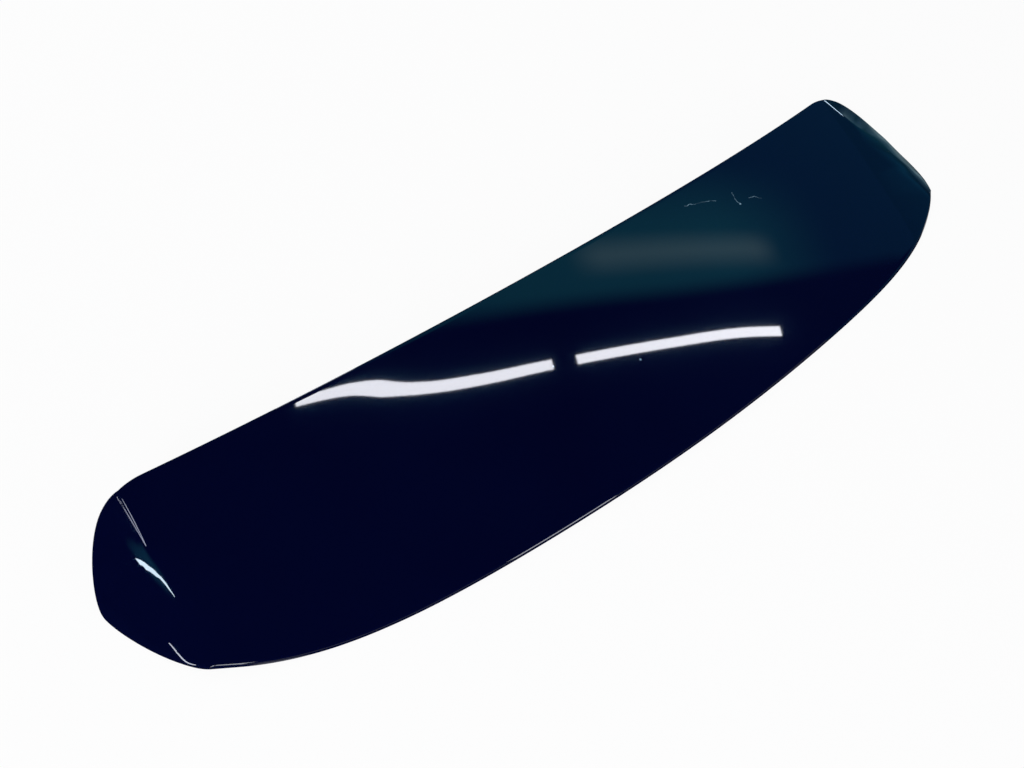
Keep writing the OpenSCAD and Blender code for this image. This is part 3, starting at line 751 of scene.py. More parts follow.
def buffer_seat(node):
    """A ring through the floor, which a rubber buffer's stem is pushed into."""
    x, y, _ = middle(node)
    low, high = foot(node) + BUFFER_HEAD_T, floor_height(x, y) + SEAT_PROUD
    outline = [(SEAT_HOLE_R, low), (SEAT_R, low), (SEAT_R, high), (SEAT_HOLE_R, high)]
    return turned(rounded(outline, 0.7, 3, closed=True), 56, closed=True, place=(x, y))


def clip_blade(node):
    """A blade that hangs from the floor, with a lead-in for its spring clip."""
    x, y, _ = middle(node)
    low, high = blade_foot(node), floor_height(x, y) - FLOOR_DROP / 2
    half_x, half_y = CLIP_WIDTH / 2 + BLADE_MARGIN, BLADE_T / 2
    corners = [(-half_x, -half_y), (half_x, -half_y), (half_x, half_y), (-half_x, half_y)]
    outline = rounded(corners, 0.7, 3, closed=True)
    return lofted([
        [(x + a * s, y + b * t, z) for a, b in outline]
        for z, s, t in ((low, 0.97, 0.8), (low + 0.4, 1, 1), (high, 1, 1))
    ])


def moulded_carrier(material):
    """The black moulding: its panel with the towers, webs, pins, seats and blades on it."""
    studs = [side * span / 2 for span in STUD_SPANS for side in (-1, 1)]
    shapes = [carrier_panel()]
    shapes += [stud_tower(x) for x in studs]
    shapes += [gusset(x, d) for x in studs for d in (45, 135, 225, 315)]
    shapes += [locating_pin(side * PIN_SPAN / 2) for side in (-1, 1)]
    shapes += [buffer_seat(node) for node in ("buffer_left", "buffer_right")]
    shapes += [clip_blade(node) for node in ("side_clip_left", "side_clip_right")]
    points, faces, total = [], [], 0
    for more, made in shapes:
        points.append(more)
        faces += [[f + total for f in face] for face in made]
        total += len(more)
    mesh = made_mesh("moulded_carrier", np.concatenate(points), faces)
    finished(mesh, "moulded_carrier", "inner_carrier", [material], 32.0)


# Materials
def colour(text, share=1.0):
    """An sRGB hex value as linear red, green and blue, times a share, and a full alpha."""
    parts = [int(text[i:i + 2], 16) / 255 for i in (1, 3, 5)]
    linear = [p / 12.92 if p <= 0.04045 else ((p + 0.055) / 1.055) ** 2.4 for p in parts]
    return [p * share for p in linear] + [1.0]


def per(size_mm):
    """Scale at which a pattern's cells or waves have that size in millimetres."""
    return 1 / (size_mm * MM)


def add(tree, kind, inputs=(), **settings):
    """Adds a node. Settings are its own. Inputs, by name or place, are values or sockets, or
    nodes whose first output is meant."""
    made = tree.nodes.new(kind)
    for name, value in settings.items():
        setattr(made, name, value)
    for key, value in dict(inputs).items():
        if isinstance(value, bpy.types.Node):
            value = value.outputs[0]
        if isinstance(value, bpy.types.NodeSocket):
            tree.links.new(value, made.inputs[key])
        else:
            made.inputs[key].default_value = value
    return made


def new_material(name):
    """A material and its tree, which is still empty."""
    made = bpy.data.materials.new(name)
    made.use_nodes = True
    made.node_tree.nodes.clear()
    return made, made.node_tree


# Fine marks in the clear coat, as plan points in millimetres: three hair scratches and specks
SCRATCHES_MM = [
    [(195.2, 93.6), (209.8, 88.6), (226.3, 85.3), (238.7, 80.2)],
    [(269.2, 79.0), (264.1, 70.6), (263.7, 64.8), (264.7, 60.4)],
    [(283.2, 61.7), (291.9, 61.0), (294.4, 56.9), (297.3, 53.3)],
]
SPECKS_MM = [(264.7, 60.6, 1.1), (-4.6, -38.8, 1.0), (-93.8, 6.4, 0.8)]
SCRATCH_WIDTH_MM = 0.42


def mark_distance(tree, place, start, end):
    """Distance in metres from a place to a short line, both in plan."""
    a, b = (Vector((p[0] * MM, p[1] * MM, 0)) for p in (start, end))
    run = b - a
    length = max(run.length_squared, 1e-12)
    away = add(tree, "ShaderNodeVectorMath", {0: place, 1: a}, operation="SUBTRACT")
    along = add(tree, "ShaderNodeVectorMath", {0: away, 1: run / length}, operation="DOT_PRODUCT")
    held = add(tree, "ShaderNodeClamp", {0: along.outputs["Value"]})
    nearest = add(tree, "ShaderNodeVectorMath", {0: run, "Scale": held}, operation="SCALE")
    gap = add(tree, "ShaderNodeVectorMath", {0: away, 1: nearest}, operation="DISTANCE")
    return gap.outputs["Value"]


def marks_mask(tree, place):
    """How white a place is: faint on the hair scratches, which fade in and out along their
    length, and full on the chips."""
    flat = add(tree, "ShaderNodeVectorMath", {0: place, 1: (1, 1, 0)}, operation="MULTIPLY")
    # A scratch is no ruled line: waves of 6.25 mm carry it up to 2 mm to either side
    wander = add(tree, "ShaderNodeTexNoise", {0: flat, "Scale": per(6.25), "Detail": 1.0})
    shake = add(
        tree, "ShaderNodeVectorMath", {0: wander.outputs["Color"], 1: (0.5, 0.5, 0.5)},
        operation="SUBTRACT",
    )
    shaken = add(
        tree, "ShaderNodeVectorMath", {0: shake, 1: (4 * MM, 4 * MM, 0), 2: flat},
        operation="MULTIPLY_ADD",
    )
    depth = add(tree, "ShaderNodeTexNoise", {0: flat, "Scale": per(7)})
    faint = add(tree, "ShaderNodeMapRange", {0: depth, 1: 0.36, 2: 0.66, 3: 0.1, 4: 0.62})
    marks = [
        (mark_distance(tree, shaken, start, end), SCRATCH_WIDTH_MM, faint)
        for line in SCRATCHES_MM for start, end in zip(line, line[1:])
    ]
    marks += [
        (mark_distance(tree, flat, (x, y), (x, y + 0.2)), width, 1.0) for x, y, width in SPECKS_MM
    ]
    mask = 0.0
    for gap, width, white in marks:
        # Full up to half a width from its line, and gone at 1.4 widths
        spot = add(
            tree, "ShaderNodeMapRange",
            {0: gap, 1: 0.5 * width * MM, 2: 1.4 * width * MM, 3: white, 4: 0.0},
        )
        mask = add(tree, "ShaderNodeMath", {0: spot, 1: mask}, operation="MAXIMUM")
    return mask


def car_paint():
    """Two-coat metallic car paint, sprayed and flatted: an even near-black navy base under a
    polished clear coat. The coat gives sharp mirror reflections. The fine flake shows only
    as a faint teal fringe, slightly grainy, beside the brightest of them."""
    made, tree = new_material("navy_metallic_car_paint")
    place = add(tree, "ShaderNodeTexCoord").outputs["Object"]
    # Single flakes are too fine to show, so cells of half a millimetre stand for patches of
    # flake that lie at the same tilt
    flake = add(tree, "ShaderNodeTexVoronoi", {0: place, "Scale": per(0.55)})
    tilt = add(tree, "ShaderNodeSeparateColor", {0: flake.outputs["Color"]})
    sparkle = add(
        tree, "ShaderNodeMapRange", {0: tilt.outputs["Red"], 1: 0.3, 2: 1.0, 3: 0.004, 4: 0.055}
    )
    # Clouds as wide as the spray gun's pass
    cloud = add(tree, "ShaderNodeTexNoise", {0: place, "Scale": per(111), "Detail": 2.0})
    ground = add(
        tree, "ShaderNodeMix", {0: cloud, 6: colour("#020422"), 7: colour("#020626")},
        data_type="RGBA",
    )
    marks = marks_mask(tree, place)
    marked = add(
        tree, "ShaderNodeMix", {0: marks, 6: ground.outputs[2], 7: colour("#8fb2c6")},
        data_type="RGBA",
    )
    # Orange peel of sprayed lacquer, about 4 mm from hill to hill and a micrometre high
    peel = add(tree, "ShaderNodeTexNoise", {0: place, "Scale": per(4), "Detail": 1.0})
    ripple = add(tree, "ShaderNodeBump", {"Strength": 1.0, "Distance": 0.9e-6, "Height": peel})
    shader = add(
        tree, "ShaderNodeBsdfPrincipled",
        {
            "Base Color": marked.outputs[2], "Roughness": 0.1, "Specular IOR Level": sparkle,
            "Specular Tint": colour("#6ce1ff"), "Coat Weight": 1.0, "Coat Roughness": 0.025,
            "Coat IOR": 1.5, "Coat Normal": ripple,
        },
    )
    add(tree, "ShaderNodeOutputMaterial", {0: shader})
    return made


def moulded_plastic(name, tone, grain_mm, roughness):
    """Black ABS from a grained mould: a satin surface whose fine grain breaks up highlights."""
    made, tree = new_material(name)
    place = add(tree, "ShaderNodeTexCoord").outputs["Object"]
    grain = add(tree, "ShaderNodeTexVoronoi", {0: place, "Scale": per(grain_mm)})
    cloud = add(tree, "ShaderNodeTexNoise", {0: place, "Scale": per(33.3), "Detail": 4.0})
    rough = add(tree, "ShaderNodeMapRange", {0: cloud, 3: roughness - 0.08, 4: roughness + 0.08})
    tint = add(
        tree, "ShaderNodeMix", {0: cloud, 6: colour(tone), 7: colour(tone, 1.35)},
        data_type="RGBA",
    )
    bump = add(
        tree, "ShaderNodeBump",
        {"Strength": 0.5, "Distance": 0.04 * MM, "Height": grain.outputs["Distance"]},
    )
    shader = add(
        tree, "ShaderNodeBsdfPrincipled",
        {"Base Color": tint.outputs[2], "Roughness": rough, "IOR": 1.53, "Normal": bump},
    )
    add(tree, "ShaderNodeOutputMaterial", {0: shader})
    return made


def plated_steel(name, tone, shade, roughness, streak_mm):
    """Rolled and electroplated or phosphated steel: metal with a cloudy, slightly uneven
    film, fine lines from rolling, and duller patches."""
    made, tree = new_material(name)
    place = add(tree, "ShaderNodeTexCoord").outputs["Object"]
    cloud = add(tree, "ShaderNodeTexNoise", {0: place, "Scale": per(6), "Detail": 3.0})
    tint = add(
        tree, "ShaderNodeMix", {0: cloud, 6: colour(tone), 7: colour(shade)}, data_type="RGBA"
    )
    rough = add(
        tree, "ShaderNodeMapRange",
        {0: cloud, 1: 0.3, 2: 0.7, 3: roughness - 0.08, 4: roughness + 0.1},
    )
    lines = add(tree, "ShaderNodeTexNoise", {0: place, "Scale": per(streak_mm), "Detail": 2.0})
    bump = add(tree, "ShaderNodeBump", {"Strength": 0.4, "Distance": 0.01 * MM, "Height": lines})
    shader = add(
        tree, "ShaderNodeBsdfPrincipled",
        {"Base Color": tint.outputs[2], "Metallic": 1.0, "Roughness": rough, "Normal": bump},
    )
    add(tree, "ShaderNodeOutputMaterial", {0: shader})
    return made


def cell_foam(name, tone, pore_mm):
    """Closed-cell foam: a matt, dark surface with the open halves of its cut cells, their hollows
    painted darker as shade.
    """
    made, tree = new_material(name)
    place = add(tree, "ShaderNodeTexCoord").outputs["Object"]
    pores = add(tree, "ShaderNodeTexVoronoi", {0: place, "Scale": per(pore_mm)})
    # Cell hollows are darkened in colour down to 0.35 of the tone: painted shade in the hollows.
    # The same value sinks them in the bump.
    pit_depth_and_shade = add(tree, "ShaderNodeMapRange", {0: pores.outputs["Distance"], 1: 0.05, 2: 0.5})
    tint = add(
        tree, "ShaderNodeMix", {0: pit_depth_and_shade, 6: colour(tone, 0.35), 7: colour(tone)}, data_type="RGBA"
    )
    bump = add(tree, "ShaderNodeBump", {"Strength": 0.9, "Distance": 0.25 * MM, "Height": pit_depth_and_shade})
    shader = add(
        tree, "ShaderNodeBsdfPrincipled",
        {
            "Base Color": tint.outputs[2], "Roughness": 0.92, "Specular IOR Level": 0.25,
            "Normal": bump,
        },
    )
    add(tree, "ShaderNodeOutputMaterial", {0: shader})
    return made


def moulded_rubber():
    """EPDM rubber from a blasted mould: deep black with a grey bloom and a soft satin."""
    made, tree = new_material("epdm_rubber_moulded")
    place = add(tree, "ShaderNodeTexCoord").outputs["Object"]
    bloom = add(tree, "ShaderNodeTexNoise", {0: place, "Scale": per(4), "Detail": 5.0})
    share = add(tree, "ShaderNodeMapRange", {0: bloom, 1: 0.45, 2: 0.75})
    tint = add(
        tree, "ShaderNodeMix", {0: share, 6: colour("#131313"), 7: colour("#262625")},
        data_type="RGBA",
    )
    rough = add(tree, "ShaderNodeMapRange", {0: share, 3: 0.55, 4: 0.8})
    grit = add(tree, "ShaderNodeTexNoise", {0: place, "Scale": per(0.4), "Detail": 1.0})
    bump = add(tree, "ShaderNodeBump", {"Strength": 0.4, "Distance": 0.03 * MM, "Height": grit})
    shader = add(
        tree, "ShaderNodeBsdfPrincipled",
        {"Base Color": tint.outputs[2], "Roughness": rough, "IOR": 1.52, "Normal": bump},
    )
    add(tree, "ShaderNodeOutputMaterial", {0: shader})
    return made


# Studio
CAMERA_PLACE = (-0.58316, -0.52034, 0.83974)
CAMERA_BACK = (-0.4182, -0.5102, 0.7515)
LENS_MM, SENSOR_MM = 34.453, 36.0
CAMERA_SHIFT = (-0.0005, 0.0005)
FLOOR_HALF, FLOOR_GLOW, CARD_Z = 40.0, 0.93, 0.0002
LAMP_WHITE = "#f6f7ff"


def camera():
    data = bpy.data.cameras.new("camera")
    data.lens, data.sensor_width = LENS_MM, SENSOR_MM
    data.shift_x, data.shift_y = CAMERA_SHIFT
    data.clip_start, data.clip_end = 0.05, 100.0
    back = Vector(CAMERA_BACK).normalized()
    right = Vector((0, 0, 1)).cross(back).normalized()
    turn = Matrix((right, back.cross(right), back)).transposed().to_4x4()
    made = linked("camera", data)
    made.matrix_world = Matrix.Translation(CAMERA_PLACE) @ turn
    bpy.context.scene.camera = made


def backdrop(name, points, faces, material, places=None):
    """A mesh of the stage. Places, where given, are those of its points on its UV map."""
    mesh = bpy.data.meshes.new(name)
    mesh.from_pydata(points, [], faces)
    mesh.materials.append(material)
    if places:
        uv = mesh.uv_layers.new(name="UVMap")
        for loop in mesh.loops:
            uv.data[loop.index].uv = places[loop.vertex_index]
    made = linked(name, mesh)
    return made


def glow_only(name, points, faces, material, places=None):
    """A backdrop seen in gloss alone: it neither lights matt surfaces nor shows to the
    camera."""
    made = backdrop(name, points, faces, material, places)
    made.visible_camera = made.visible_diffuse = made.visible_shadow = False


def camera_share(tree):
    """One for rays that show the background: from the camera, or by way of gloss or glass."""
    path = add(tree, "ShaderNodeLightPath")
    shown = add(
        tree, "ShaderNodeMath",
        {0: path.outputs["Is Camera Ray"], 1: path.outputs["Is Glossy Ray"]},
        operation="MAXIMUM",
    )
    return add(
        tree, "ShaderNodeMath", {0: shown, 1: path.outputs["Is Transmission Ray"]},
        operation="MAXIMUM",
    )


def floor():
    """A plain white floor that keeps the object's shadow. From below it is clear, to the eye
    and to the lamps that light the underside."""
    material, tree = new_material("matt_white_floor")
    matt = add(tree, "ShaderNodeBsdfDiffuse", {"Color": colour("#efefef")})
    glow = add(tree, "ShaderNodeEmission", {"Color": (1, 1, 1, 1), "Strength": 1.0})
    share = add(
        tree, "ShaderNodeMath", {0: camera_share(tree), 1: FLOOR_GLOW}, operation="MULTIPLY"
    )
    top = add(tree, "ShaderNodeMixShader", {0: share, 1: matt, 2: glow})
    clear = add(tree, "ShaderNodeBsdfTransparent")
    from_below = add(tree, "ShaderNodeNewGeometry").outputs["Backfacing"]
    to_lamp = add(tree, "ShaderNodeLightPath").outputs["Is Shadow Ray"]
    below = add(tree, "ShaderNodeMath", {0: from_below, 1: to_lamp}, operation="MAXIMUM")
    both = add(tree, "ShaderNodeMixShader", {0: below, 1: top, 2: clear})
    add(tree, "ShaderNodeOutputMaterial", {0: both})
    r = FLOOR_HALF
    backdrop("floor", [(-r, -r, 0), (r, -r, 0), (r, r, 0), (-r, r, 0)], [(0, 1, 2, 3)], material)


def world():
    """White at the horizon, dim overhead for gloss, and a soft grey fill for matt surfaces."""
    made = bpy.data.worlds.new("studio")
    bpy.context.scene.world = made
    made.use_nodes = True
    tree = made.node_tree
    tree.nodes.clear()
    path = add(tree, "ShaderNodeLightPath")
    way = add(tree, "ShaderNodeTexCoord").outputs["Generated"]
    up = add(tree, "ShaderNodeSeparateXYZ", {0: way}).outputs[2]
    haze = add(
        tree, "ShaderNodeMapRange", {0: up, 1: 0.02, 2: 0.22, 3: 1.0, 4: 0.004},
        interpolation_type="SMOOTHSTEP",
    )
    through = add(
        tree, "ShaderNodeMath",
        {0: path.outputs["Is Glossy Ray"], 1: path.outputs["Is Transmission Ray"]},
        operation="MAXIMUM",
    )
    fill = add(tree, "ShaderNodeMix", {0: through, 2: 0.4, 3: haze})
    level = add(tree, "ShaderNodeMix", {0: path.outputs["Is Camera Ray"], 2: fill, 3: 1.0})
    background = add(tree, "ShaderNodeBackground", {0: (1, 1, 1, 1), 1: level})
    add(tree, "ShaderNodeOutputWorld", {0: background})


def soft_lamp(name, azimuth, elevation, distance, size, radiance, in_gloss=True):
    """A soft box that faces the object. Its power follows from how bright its face is."""
    data = bpy.data.lights.new(name, "AREA")
    data.shape = "RECTANGLE"
    data.size, data.size_y = size
    data.energy = radiance * math.pi * size[0] * size[1]
    data.color = colour(LAMP_WHITE)[:3]
    a, e = math.radians(azimuth), math.radians(elevation)
    away = Vector((math.cos(a) * math.cos(e), math.sin(a) * math.cos(e), math.sin(e)))
    made = linked(name, data)
    made.location = away * distance
    made.rotation_euler = away.to_track_quat("Z", "Y").to_euler()
    made.visible_glossy = in_gloss


# Ceiling over the part, in metres along the tube lamps (u) and across them (v)
CEILING_Z, CEILING_HALF, TUBE_DROP = 2.3, 9.0, 0.02
TUBE_WHITE, TUBE_STRENGTH = "#f7f7ff", 20.0
CEILING_TEAL = "#195977"
CEILING_ORIGIN = Vector((1.140, 0.343))
CEILING_U = Vector((0.93, -0.37)).normalized()
CEILING_V = Vector((0.37, 0.93)).normalized()


def on_ceiling(u, v, below=0.0):
    return (*(CEILING_ORIGIN + CEILING_U * u + CEILING_V * v), CEILING_Z - below)


def emitting(name, tone, strength):
    """The even glow of a lamp or a card."""
    made, tree = new_material(name)
    glow = add(tree, "ShaderNodeEmission", {"Color": colour(tone), "Strength": strength})
    add(tree, "ShaderNodeOutputMaterial", {0: glow})
    return made


def tube_lamp(name, knots):
    """A long thin lamp on the ceiling. Knots are (u, v of its middle, width) along it."""
    u, v, w = np.array(knots, float).T
    run = np.linspace(u[0], u[-1], 60)
    slope = np.gradient(v, u)
    step = np.clip(np.searchsorted(u, run) - 1, 0, len(u) - 2)
    gap = u[step + 1] - u[step]
    t = (run - u[step]) / gap
    centre = (
        (2 * t ** 3 - 3 * t ** 2 + 1) * v[step] + (t ** 3 - 2 * t ** 2 + t) * gap * slope[step]
        + (3 * t ** 2 - 2 * t ** 3) * v[step + 1] + (t ** 3 - t ** 2) * gap * slope[step + 1]
    )
    half_width = np.interp(run, u, w) / 2
    points = [
        on_ceiling(float(a), float(b), TUBE_DROP)
        for edge in (centre - half_width, centre + half_width) for a, b in zip(run, edge)
    ]
    n = len(run)
    faces = [(i, i + n, i + n + 1, i + 1) for i in range(n - 1)]
    glow_only(name, points, faces, emitting(name, TUBE_WHITE, TUBE_STRENGTH))


def strip_lamp(name, edge_a, edge_b, material):
    """A lamp near the part, ruled between two edges given in millimetres. Its UV map runs
    along it and across it."""
    points = [[c * MM for c in p] for p in edge_a + edge_b]
    n = len(edge_a)
    faces = [(i, i + 1, i + n + 1, i + n) for i in range(n - 1)]
    places = [(i / (n - 1), side) for side in (0, 1) for i in range(n)]
    glow_only(name, points, faces, material, places)


def soft_glow(name, tone, strength):
    """Light that fades out to the edges of a strip."""
    made, tree = new_material(name)
    on_strip = add(tree, "ShaderNodeTexCoord").outputs["UV"]
    total = strength
    for share in add(tree, "ShaderNodeSeparateXYZ", {0: on_strip}).outputs[:2]:
        off = add(tree, "ShaderNodeMath", {0: share, 1: 0.5}, operation="SUBTRACT")
        off = add(tree, "ShaderNodeMath", {0: off}, operation="ABSOLUTE")
        fade = add(
            tree, "ShaderNodeMapRange", {0: off, 1: 0.08, 2: 0.5, 3: 1.0, 4: 0.0},
            interpolation_type="SMOOTHSTEP",
        )
        total = add(tree, "ShaderNodeMath", {0: fade, 1: total}, operation="MULTIPLY")
    glow = add(tree, "ShaderNodeEmission", {"Color": colour(tone), "Strength": total})
    add(tree, "ShaderNodeOutputMaterial", {0: glow})
    return made


def level_card(name, x0, y0, x1, y1, z, material):
    """A card that lies level, given by two opposite corners and its height."""
    points = [(x, y, z) for x, y in ((x0, y0), (x1, y0), (x1, y1), (x0, y1))]
    glow_only(name, points, [(0, 1, 2, 3)], material)


# A screen beyond the right cheek, in millimetres. Each knot has a y, the height up to which the
# screen is brightest there, the height where it is dimmest, the height from which it is plain
# teal, and its strength.
SCREEN_X, SCREEN_TOP = 620, 120
SCREEN_KNOTS = [
    (-500, 15, 40, 50, 1.1), (-60, 15, 40, 50, 1.25), (-24, 15, 40, 50, 1.75),
    (2, 8, 30, 56, 1.75), (18, 1, 19, 36, 1.15), (24, 0.3, 16, 36, 1.05),
    (45, 0.1, 12, 50, 1.0), (67, 0.5, 8.5, 85, 1.0), (86, 6.7, 12.4, 66, 1.0),
    (104, 17, 20.3, 75, 1.0), (120, 23, 33, 89, 1.15), (136, 41, 55, 110, 1.05),
    (500, 44, 60, 115, 1.05),
]
# Its tones, from the bright foot at 0 past the dimmest one at a half to the teal at 1
SCREEN_TONES = [
    (0.0, "#6f8b95"), (0.05, "#597684"), (0.12, "#426573"), (0.2, "#38596a"), (0.3, "#2f5163"),
    (0.4, "#1d4252"), (0.5, "#113a46"), (1.0, CEILING_TEAL),
]


def teal_screen():
    """The screen that the right cheek mirrors. Its UV map holds its strength, which is the
    ceiling's at its top edge, and the share that its tone follows from the foot to the teal."""
    points, shades = [], []
    for y, low, dim, teal, strength in SCREEN_KNOTS:
        for z, share in ((0, 0), (low, 0), (dim, 0.5), (teal, 1), (SCREEN_TOP, 1)):
            points.append((SCREEN_X * MM, y * MM, z * MM))
            shades.append((1.0 if z == SCREEN_TOP else strength, share))
    faces = [
        (i * 5 + k, i * 5 + k + 1, i * 5 + k + 6, i * 5 + k + 5)
        for i in range(len(SCREEN_KNOTS) - 1) for k in range(4)
    ]
    material, tree = new_material("teal_screen")
    on_screen = add(tree, "ShaderNodeTexCoord").outputs["UV"]
    bright, foot_to_teal = add(tree, "ShaderNodeSeparateXYZ", {0: on_screen}).outputs[:2]
    ramp = add(tree, "ShaderNodeValToRGB", {0: foot_to_teal})
    stops = ramp.color_ramp.elements
    for _ in SCREEN_TONES[2:]:
        stops.new(0.5)
    for stop, (share, tone) in zip(stops, SCREEN_TONES):
        stop.position = share
        stop.color = colour(tone)
    glow = add(tree, "ShaderNodeEmission", {"Color": ramp, "Strength": bright})
    add(tree, "ShaderNodeOutputMaterial", {0: glow})
    glow_only("teal_screen", points, faces, material, shades)


def ceiling():
    """A dark ceiling with a teal side and one pale patch, which the clear coat mirrors."""
    material, tree = new_material("painted_ceiling")
    place = add(tree, "ShaderNodeTexCoord").outputs["Object"]
    centred = add(
        tree, "ShaderNodeVectorMath", {0: place, 1: (*CEILING_ORIGIN, 0)}, operation="SUBTRACT"
    )
    u, v = (
        add(
            tree, "ShaderNodeVectorMath", {0: centred, 1: (*axis, 0)}, operation="DOT_PRODUCT"
        ).outputs["Value"]
        for axis in (CEILING_U, CEILING_V)
    )

    def pool(amount, across_u, across_v):
        """The amount, kept inside a pool of light. Each way across the ceiling has a start, an
        end and how softly they fade."""
        for value, (low, high, soft) in ((u, across_u), (v, across_v)):
            for end, levels in ((low, {3: 0.0, 4: 1.0}), (high, {3: 1.0, 4: 0.0})):
                fade = add(
                    tree, "ShaderNodeMapRange", {0: value, 1: end - soft, 2: end + soft, **levels},
                    interpolation_type="SMOOTHSTEP",
                )
                amount = add(tree, "ShaderNodeMath", {0: amount, 1: fade}, operation="MULTIPLY")
        return amount

    # The edge of the teal side bows away from the tube lamps, more so further along them
    far = add(tree, "ShaderNodeMapRange", {0: u, 1: 0.5, 2: 2.5})
    swing = add(tree, "ShaderNodeMath", {0: far, 1: 1.7}, operation="POWER")
    bow = add(tree, "ShaderNodeMath", {0: swing, 1: 0.22}, operation="MULTIPLY")
    edge = add(tree, "ShaderNodeMath", {0: v, 1: bow}, operation="SUBTRACT")
    teal = add(
        tree, "ShaderNodeMapRange", {0: edge, 1: -0.03, 2: 0.12}, interpolation_type="SMOOTHSTEP"
    )
    haze = add(tree, "ShaderNodeMapRange", {0: u, 1: 0.0, 2: 1.0})
    layers = [
        (haze, "#0d1d3f"),
        (teal, CEILING_TEAL),
        (pool(teal, (-0.6, 1.55, 0.5), (-0.3, 0.7, 0.35)), "#359997"),
        (pool(teal, (0.25, 1.42, 0.12), (0.22, 0.37, 0.09)), "#a2b1ad"),
    ]
    total = (0, 0, 0)
    for amount, tone in layers:
        part = add(
            tree, "ShaderNodeVectorMath", {0: colour(tone)[:3], "Scale": amount}, operation="SCALE"
        )
        total = add(tree, "ShaderNodeVectorMath", {0: total, 1: part}, operation="ADD")
    glow = add(tree, "ShaderNodeEmission", {"Color": total, "Strength": 1.0})
    add(tree, "ShaderNodeOutputMaterial", {0: glow})
    r = CEILING_HALF
    points = [on_ceiling(a, b) for a, b in ((-r, -r), (r, -r), (r, r), (-r, r))]
    glow_only("ceiling", points, [(3, 2, 1, 0)], material)


# The part
paint = car_paint()
bare_abs = moulded_plastic("black_abs_unpainted", "#16171a", 0.8, 0.55)
carrier_abs = moulded_plastic("black_abs_grained", "#1b1c1e", 1.2, 0.5)
zinc = plated_steel("zinc_plated_steel", "#c3c7cc", "#a9adb0", 0.3, 0.5)
spring_steel = plated_steel("phosphated_spring_steel", "#77797c", "#5b5c5e", 0.45, 0.3)
foam = cell_foam("closed_cell_foam", "#2c2d2f", 0.7)
rubber = moulded_rubber()
painted_skin(paint, bare_abs)
moulded_carrier(carrier_abs)
fasteners = fastener_tree()
at_studs(
    fasteners, "threaded_studs", "mounting_studs", threaded_stud(), STUD_HEAD_Z, zinc, 3
)
at_studs(
    fasteners, "push_on_retainers", "stud_retainers", retainer(),
    PAD_Z - RETAINER_RIM_T, spring_steel, 8,
)
gaskets = at_studs(
    fasteners, "foam_gaskets", "stud_gaskets", gasket(), foot("stud_gaskets"), foam, 5
)
for clip in ("side_clip_left", "side_clip_right"):
    side_clip(clip, spring_steel)
front_seal(foam)
cheek_pad(-1, "cheek_pad_left", foam)
cheek_pad(1, "cheek_pad_right", foam)
for buffer in ("buffer_left", "buffer_right"):
    rubber_buffer(buffer, rubber)

# What it stands in
camera()
floor()
world()
# The lips show these three as thin lines: the first two on the trailing edge, left and right
# of its middle, and the third on the leading edge
soft_lamp("lamp_rear_left", -143.6, 26, 3.2, (0.98, 1.6), 8.0)
soft_lamp("lamp_rear_right", -78, 17, 3.2, (0.75, 0.9), 8.0)
soft_lamp("lamp_front", 82, 40, 3.2, (0.4, 2.0), 9.0)
soft_lamp("lamp_left", -160, 26, 3.2, (1.4, 1.2), 3.0, in_gloss=False)
# Under the clear floor, for the side that faces the tailgate
soft_lamp("lamp_below_rear", -110, -72, 2.4, (1.8, 1.2), 5.0)
soft_lamp("lamp_below_front", 60, -68, 2.4, (0.9, 1.4), 5.0)
ceiling()
# A teal screen just beyond the right cheek, and dark cards on the floor all round, keep the
# white floor out of the gloss of the cheek and of the lips. Under the part they leave it bare.
dark = emitting("dark_card", "#0a1227", 1.0)
teal_screen()
for i, (x0, y0, x1, y1) in enumerate((
    (-0.9, -0.5, 0.9, -0.09), (-0.9, 0.1, 0.9, 0.5), (-0.9, -0.09, -0.52, 0.1),
    (0.52, -0.09, 0.9, 0.1),
)):
    level_card(f"dark_card_{i}", x0, y0, x1, y1, CARD_Z, dark)
grey_green = emitting("grey_green", "#657e86", 1.0)
level_card("right_card", 0.6, -0.4, 0.9, 0.4, 2 * CARD_Z, grey_green)
glow_only(
    "left_card", [(-0.72, -0.3, 0), (-0.72, 0.3, 0), (-0.72, 0.3, 0.1), (-0.72, -0.3, 0.1)],
    [(0, 1, 2, 3)], dark,
)
tube_lamp(
    "tube_left",
    [
        (-1.21, -0.213, 0.044), (-1.09, -0.211, 0.046), (-0.977, -0.214, 0.061),
        (-0.855, -0.241, 0.087), (-0.754, -0.268, 0.066), (-0.638, -0.287, 0.059),
        (-0.419, -0.297, 0.057), (-0.066, -0.285, 0.052),
    ],
)
tube_lamp(
    "tube_right",
    [(0.057, -0.281, 0.05), (0.555, -0.261, 0.053), (1.078, -0.243, 0.058), (1.305, -0.252, 0.06)],
)
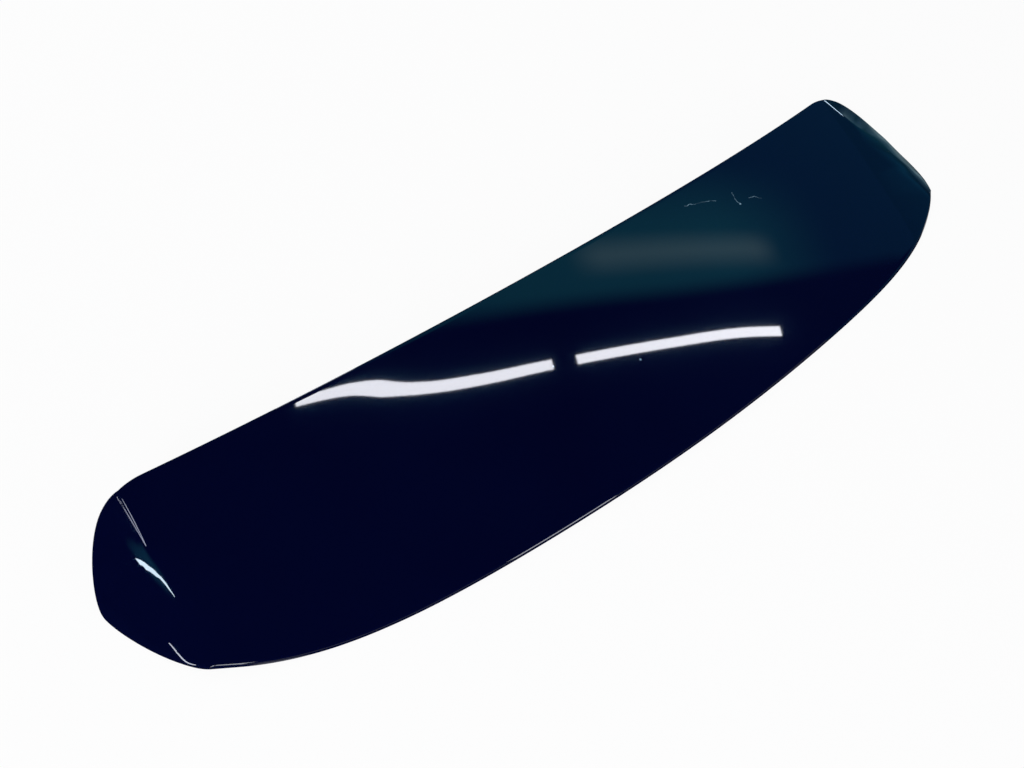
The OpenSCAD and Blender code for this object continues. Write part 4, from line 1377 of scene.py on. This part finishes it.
# Small lamps within a hand's breadth of the part. At that distance the crease shows each one
# once, while the flat cheek beside it shows none.
strip_lamp(
    "lamp_at_left_crease",
    [(-618.5, 102.9, 93.2), (-617.7, 97.4, 95.4), (-608.7, 80.5, 108.2), (-602.3, 72.4, 116.2),
        (-599.1, 67.4, 120.4), (-598.3, 58.6, 123.5), (-599.1, 50.1, 125), (-599.3, 41.3, 127.2)],
    [(-618.8, 102.8, 93), (-621.6, 97.5, 91.9), (-618, 85.3, 98.4), (-609.5, 74.2, 109.1),
        (-603.7, 68, 116), (-602.1, 59.3, 119.8), (-601.4, 50.6, 122.8), (-600.3, 41.6, 126.2)],
    emitting("cool_lamp", "#ddf0ff", 22.0),
)
strip_lamp(
    "glow_at_left_crease",
    [(-608.2, 128.3, 113.3), (-612.9, 120, 111.2), (-602.8, 91.7, 128.2), (-597.3, 72.7, 138.3),
        (-598.3, 62.5, 140.2), (-605, 39.5, 140.3)],
    [(-615.9, 122.1, 107.9), (-625.3, 111.7, 102), (-632.8, 99.7, 98.4), (-625.8, 75.4, 111.4),
        (-621, 54.2, 121.6), (-614.1, 31.4, 134.1)],
    soft_glow("teal_glow", "#59daff", 0.5),
)
hair_lamp = emitting("hair_lamp", "#e1e5ff", 9.0)
strip_lamp(
    "hair_lamp_left_outer",
    [(-568.8, 158.8, 115.4), (-571.9, 151.2, 115.4), (-576, 146.1, 113.6), (-580.1, 141.2, 111.9),
        (-584, 136.4, 110.2), (-587.9, 131.5, 108.5), (-591.7, 126.6, 107), (-595.3, 121.8, 105.6),
        (-598.2, 116.4, 104.9), (-595.1, 106, 111.3), (-592, 94.6, 118)],
    [(-568.4, 158.8, 115.8), (-571.5, 151.5, 115.7), (-575.5, 146.7, 113.9),
        (-579.3, 141.8, 112.3), (-582.9, 136.8, 111), (-586.1, 131.7, 110.1),
        (-589.1, 126.4, 109.2), (-591.8, 121, 108.9), (-593.1, 114.3, 110.1),
        (-590.7, 103.6, 115.9), (-589.4, 93.4, 120.7)],
    hair_lamp,
)
strip_lamp(
    "hair_lamp_left_inner",
    [(-558.1, 151.8, 121.7), (-563.9, 143.3, 120.6), (-569.5, 135, 119.5), (-575.6, 127, 118.1),
        (-585, 119.9, 114.5), (-591.6, 109.9, 113.3), (-590.8, 94.7, 118)],
    [(-555.6, 151.5, 123.3), (-558.8, 142.7, 123.8), (-562.5, 134, 124), (-567.8, 125.5, 123.2),
        (-576.6, 117.8, 120.1), (-584.7, 107.1, 118.2), (-587.7, 93.3, 120.2)],
    hair_lamp,
)
strip_lamp(
    "lamp_at_left_rear_corner",
    [(-622.1, 15.5, 59.1), (-622, 11.8, 59.9), (-621.9, 8.2, 60.8), (-621.8, 4.4, 61.5),
        (-625.6, -3.3, 56), (-632.7, -13.1, 44.8), (-640.5, -22.5, 32.2), (-648.7, -34.2, 19.3),
        (-655.1, -42.7, 9.2), (-656.6, -47.7, 7.2), (-653.3, -52.3, 14.1)],
    [(-621.7, 15.3, 59.8), (-621.5, 11.6, 60.8), (-621.3, 7.9, 61.8), (-621.1, 4.2, 62.9),
        (-621.9, -0.7, 62.2), (-627.4, -10, 53.8), (-634.7, -20.2, 42.4), (-641, -32, 32.8),
        (-646.2, -40.2, 24.8), (-648.6, -44.6, 21.3), (-647.1, -49.2, 24.9)],
    emitting("corner_lamp", "#edf0ff", 14.0),
)
strip_lamp(
    "hair_lamp_right",
    [(615, 168, 81), (615, 155, 77.5), (615, 146, 75.5), (615, 138, 72.5), (615, 128, 69.5)],
    [(615, 168, 103), (615, 155, 97.5), (615, 146, 95.5), (615, 138, 92.5), (615, 128, 89.5)],
    emitting("hair_lamp_right", "#cbe7ff", 9.0),
)

view = bpy.context.scene.view_settings
view.view_transform = "Standard"
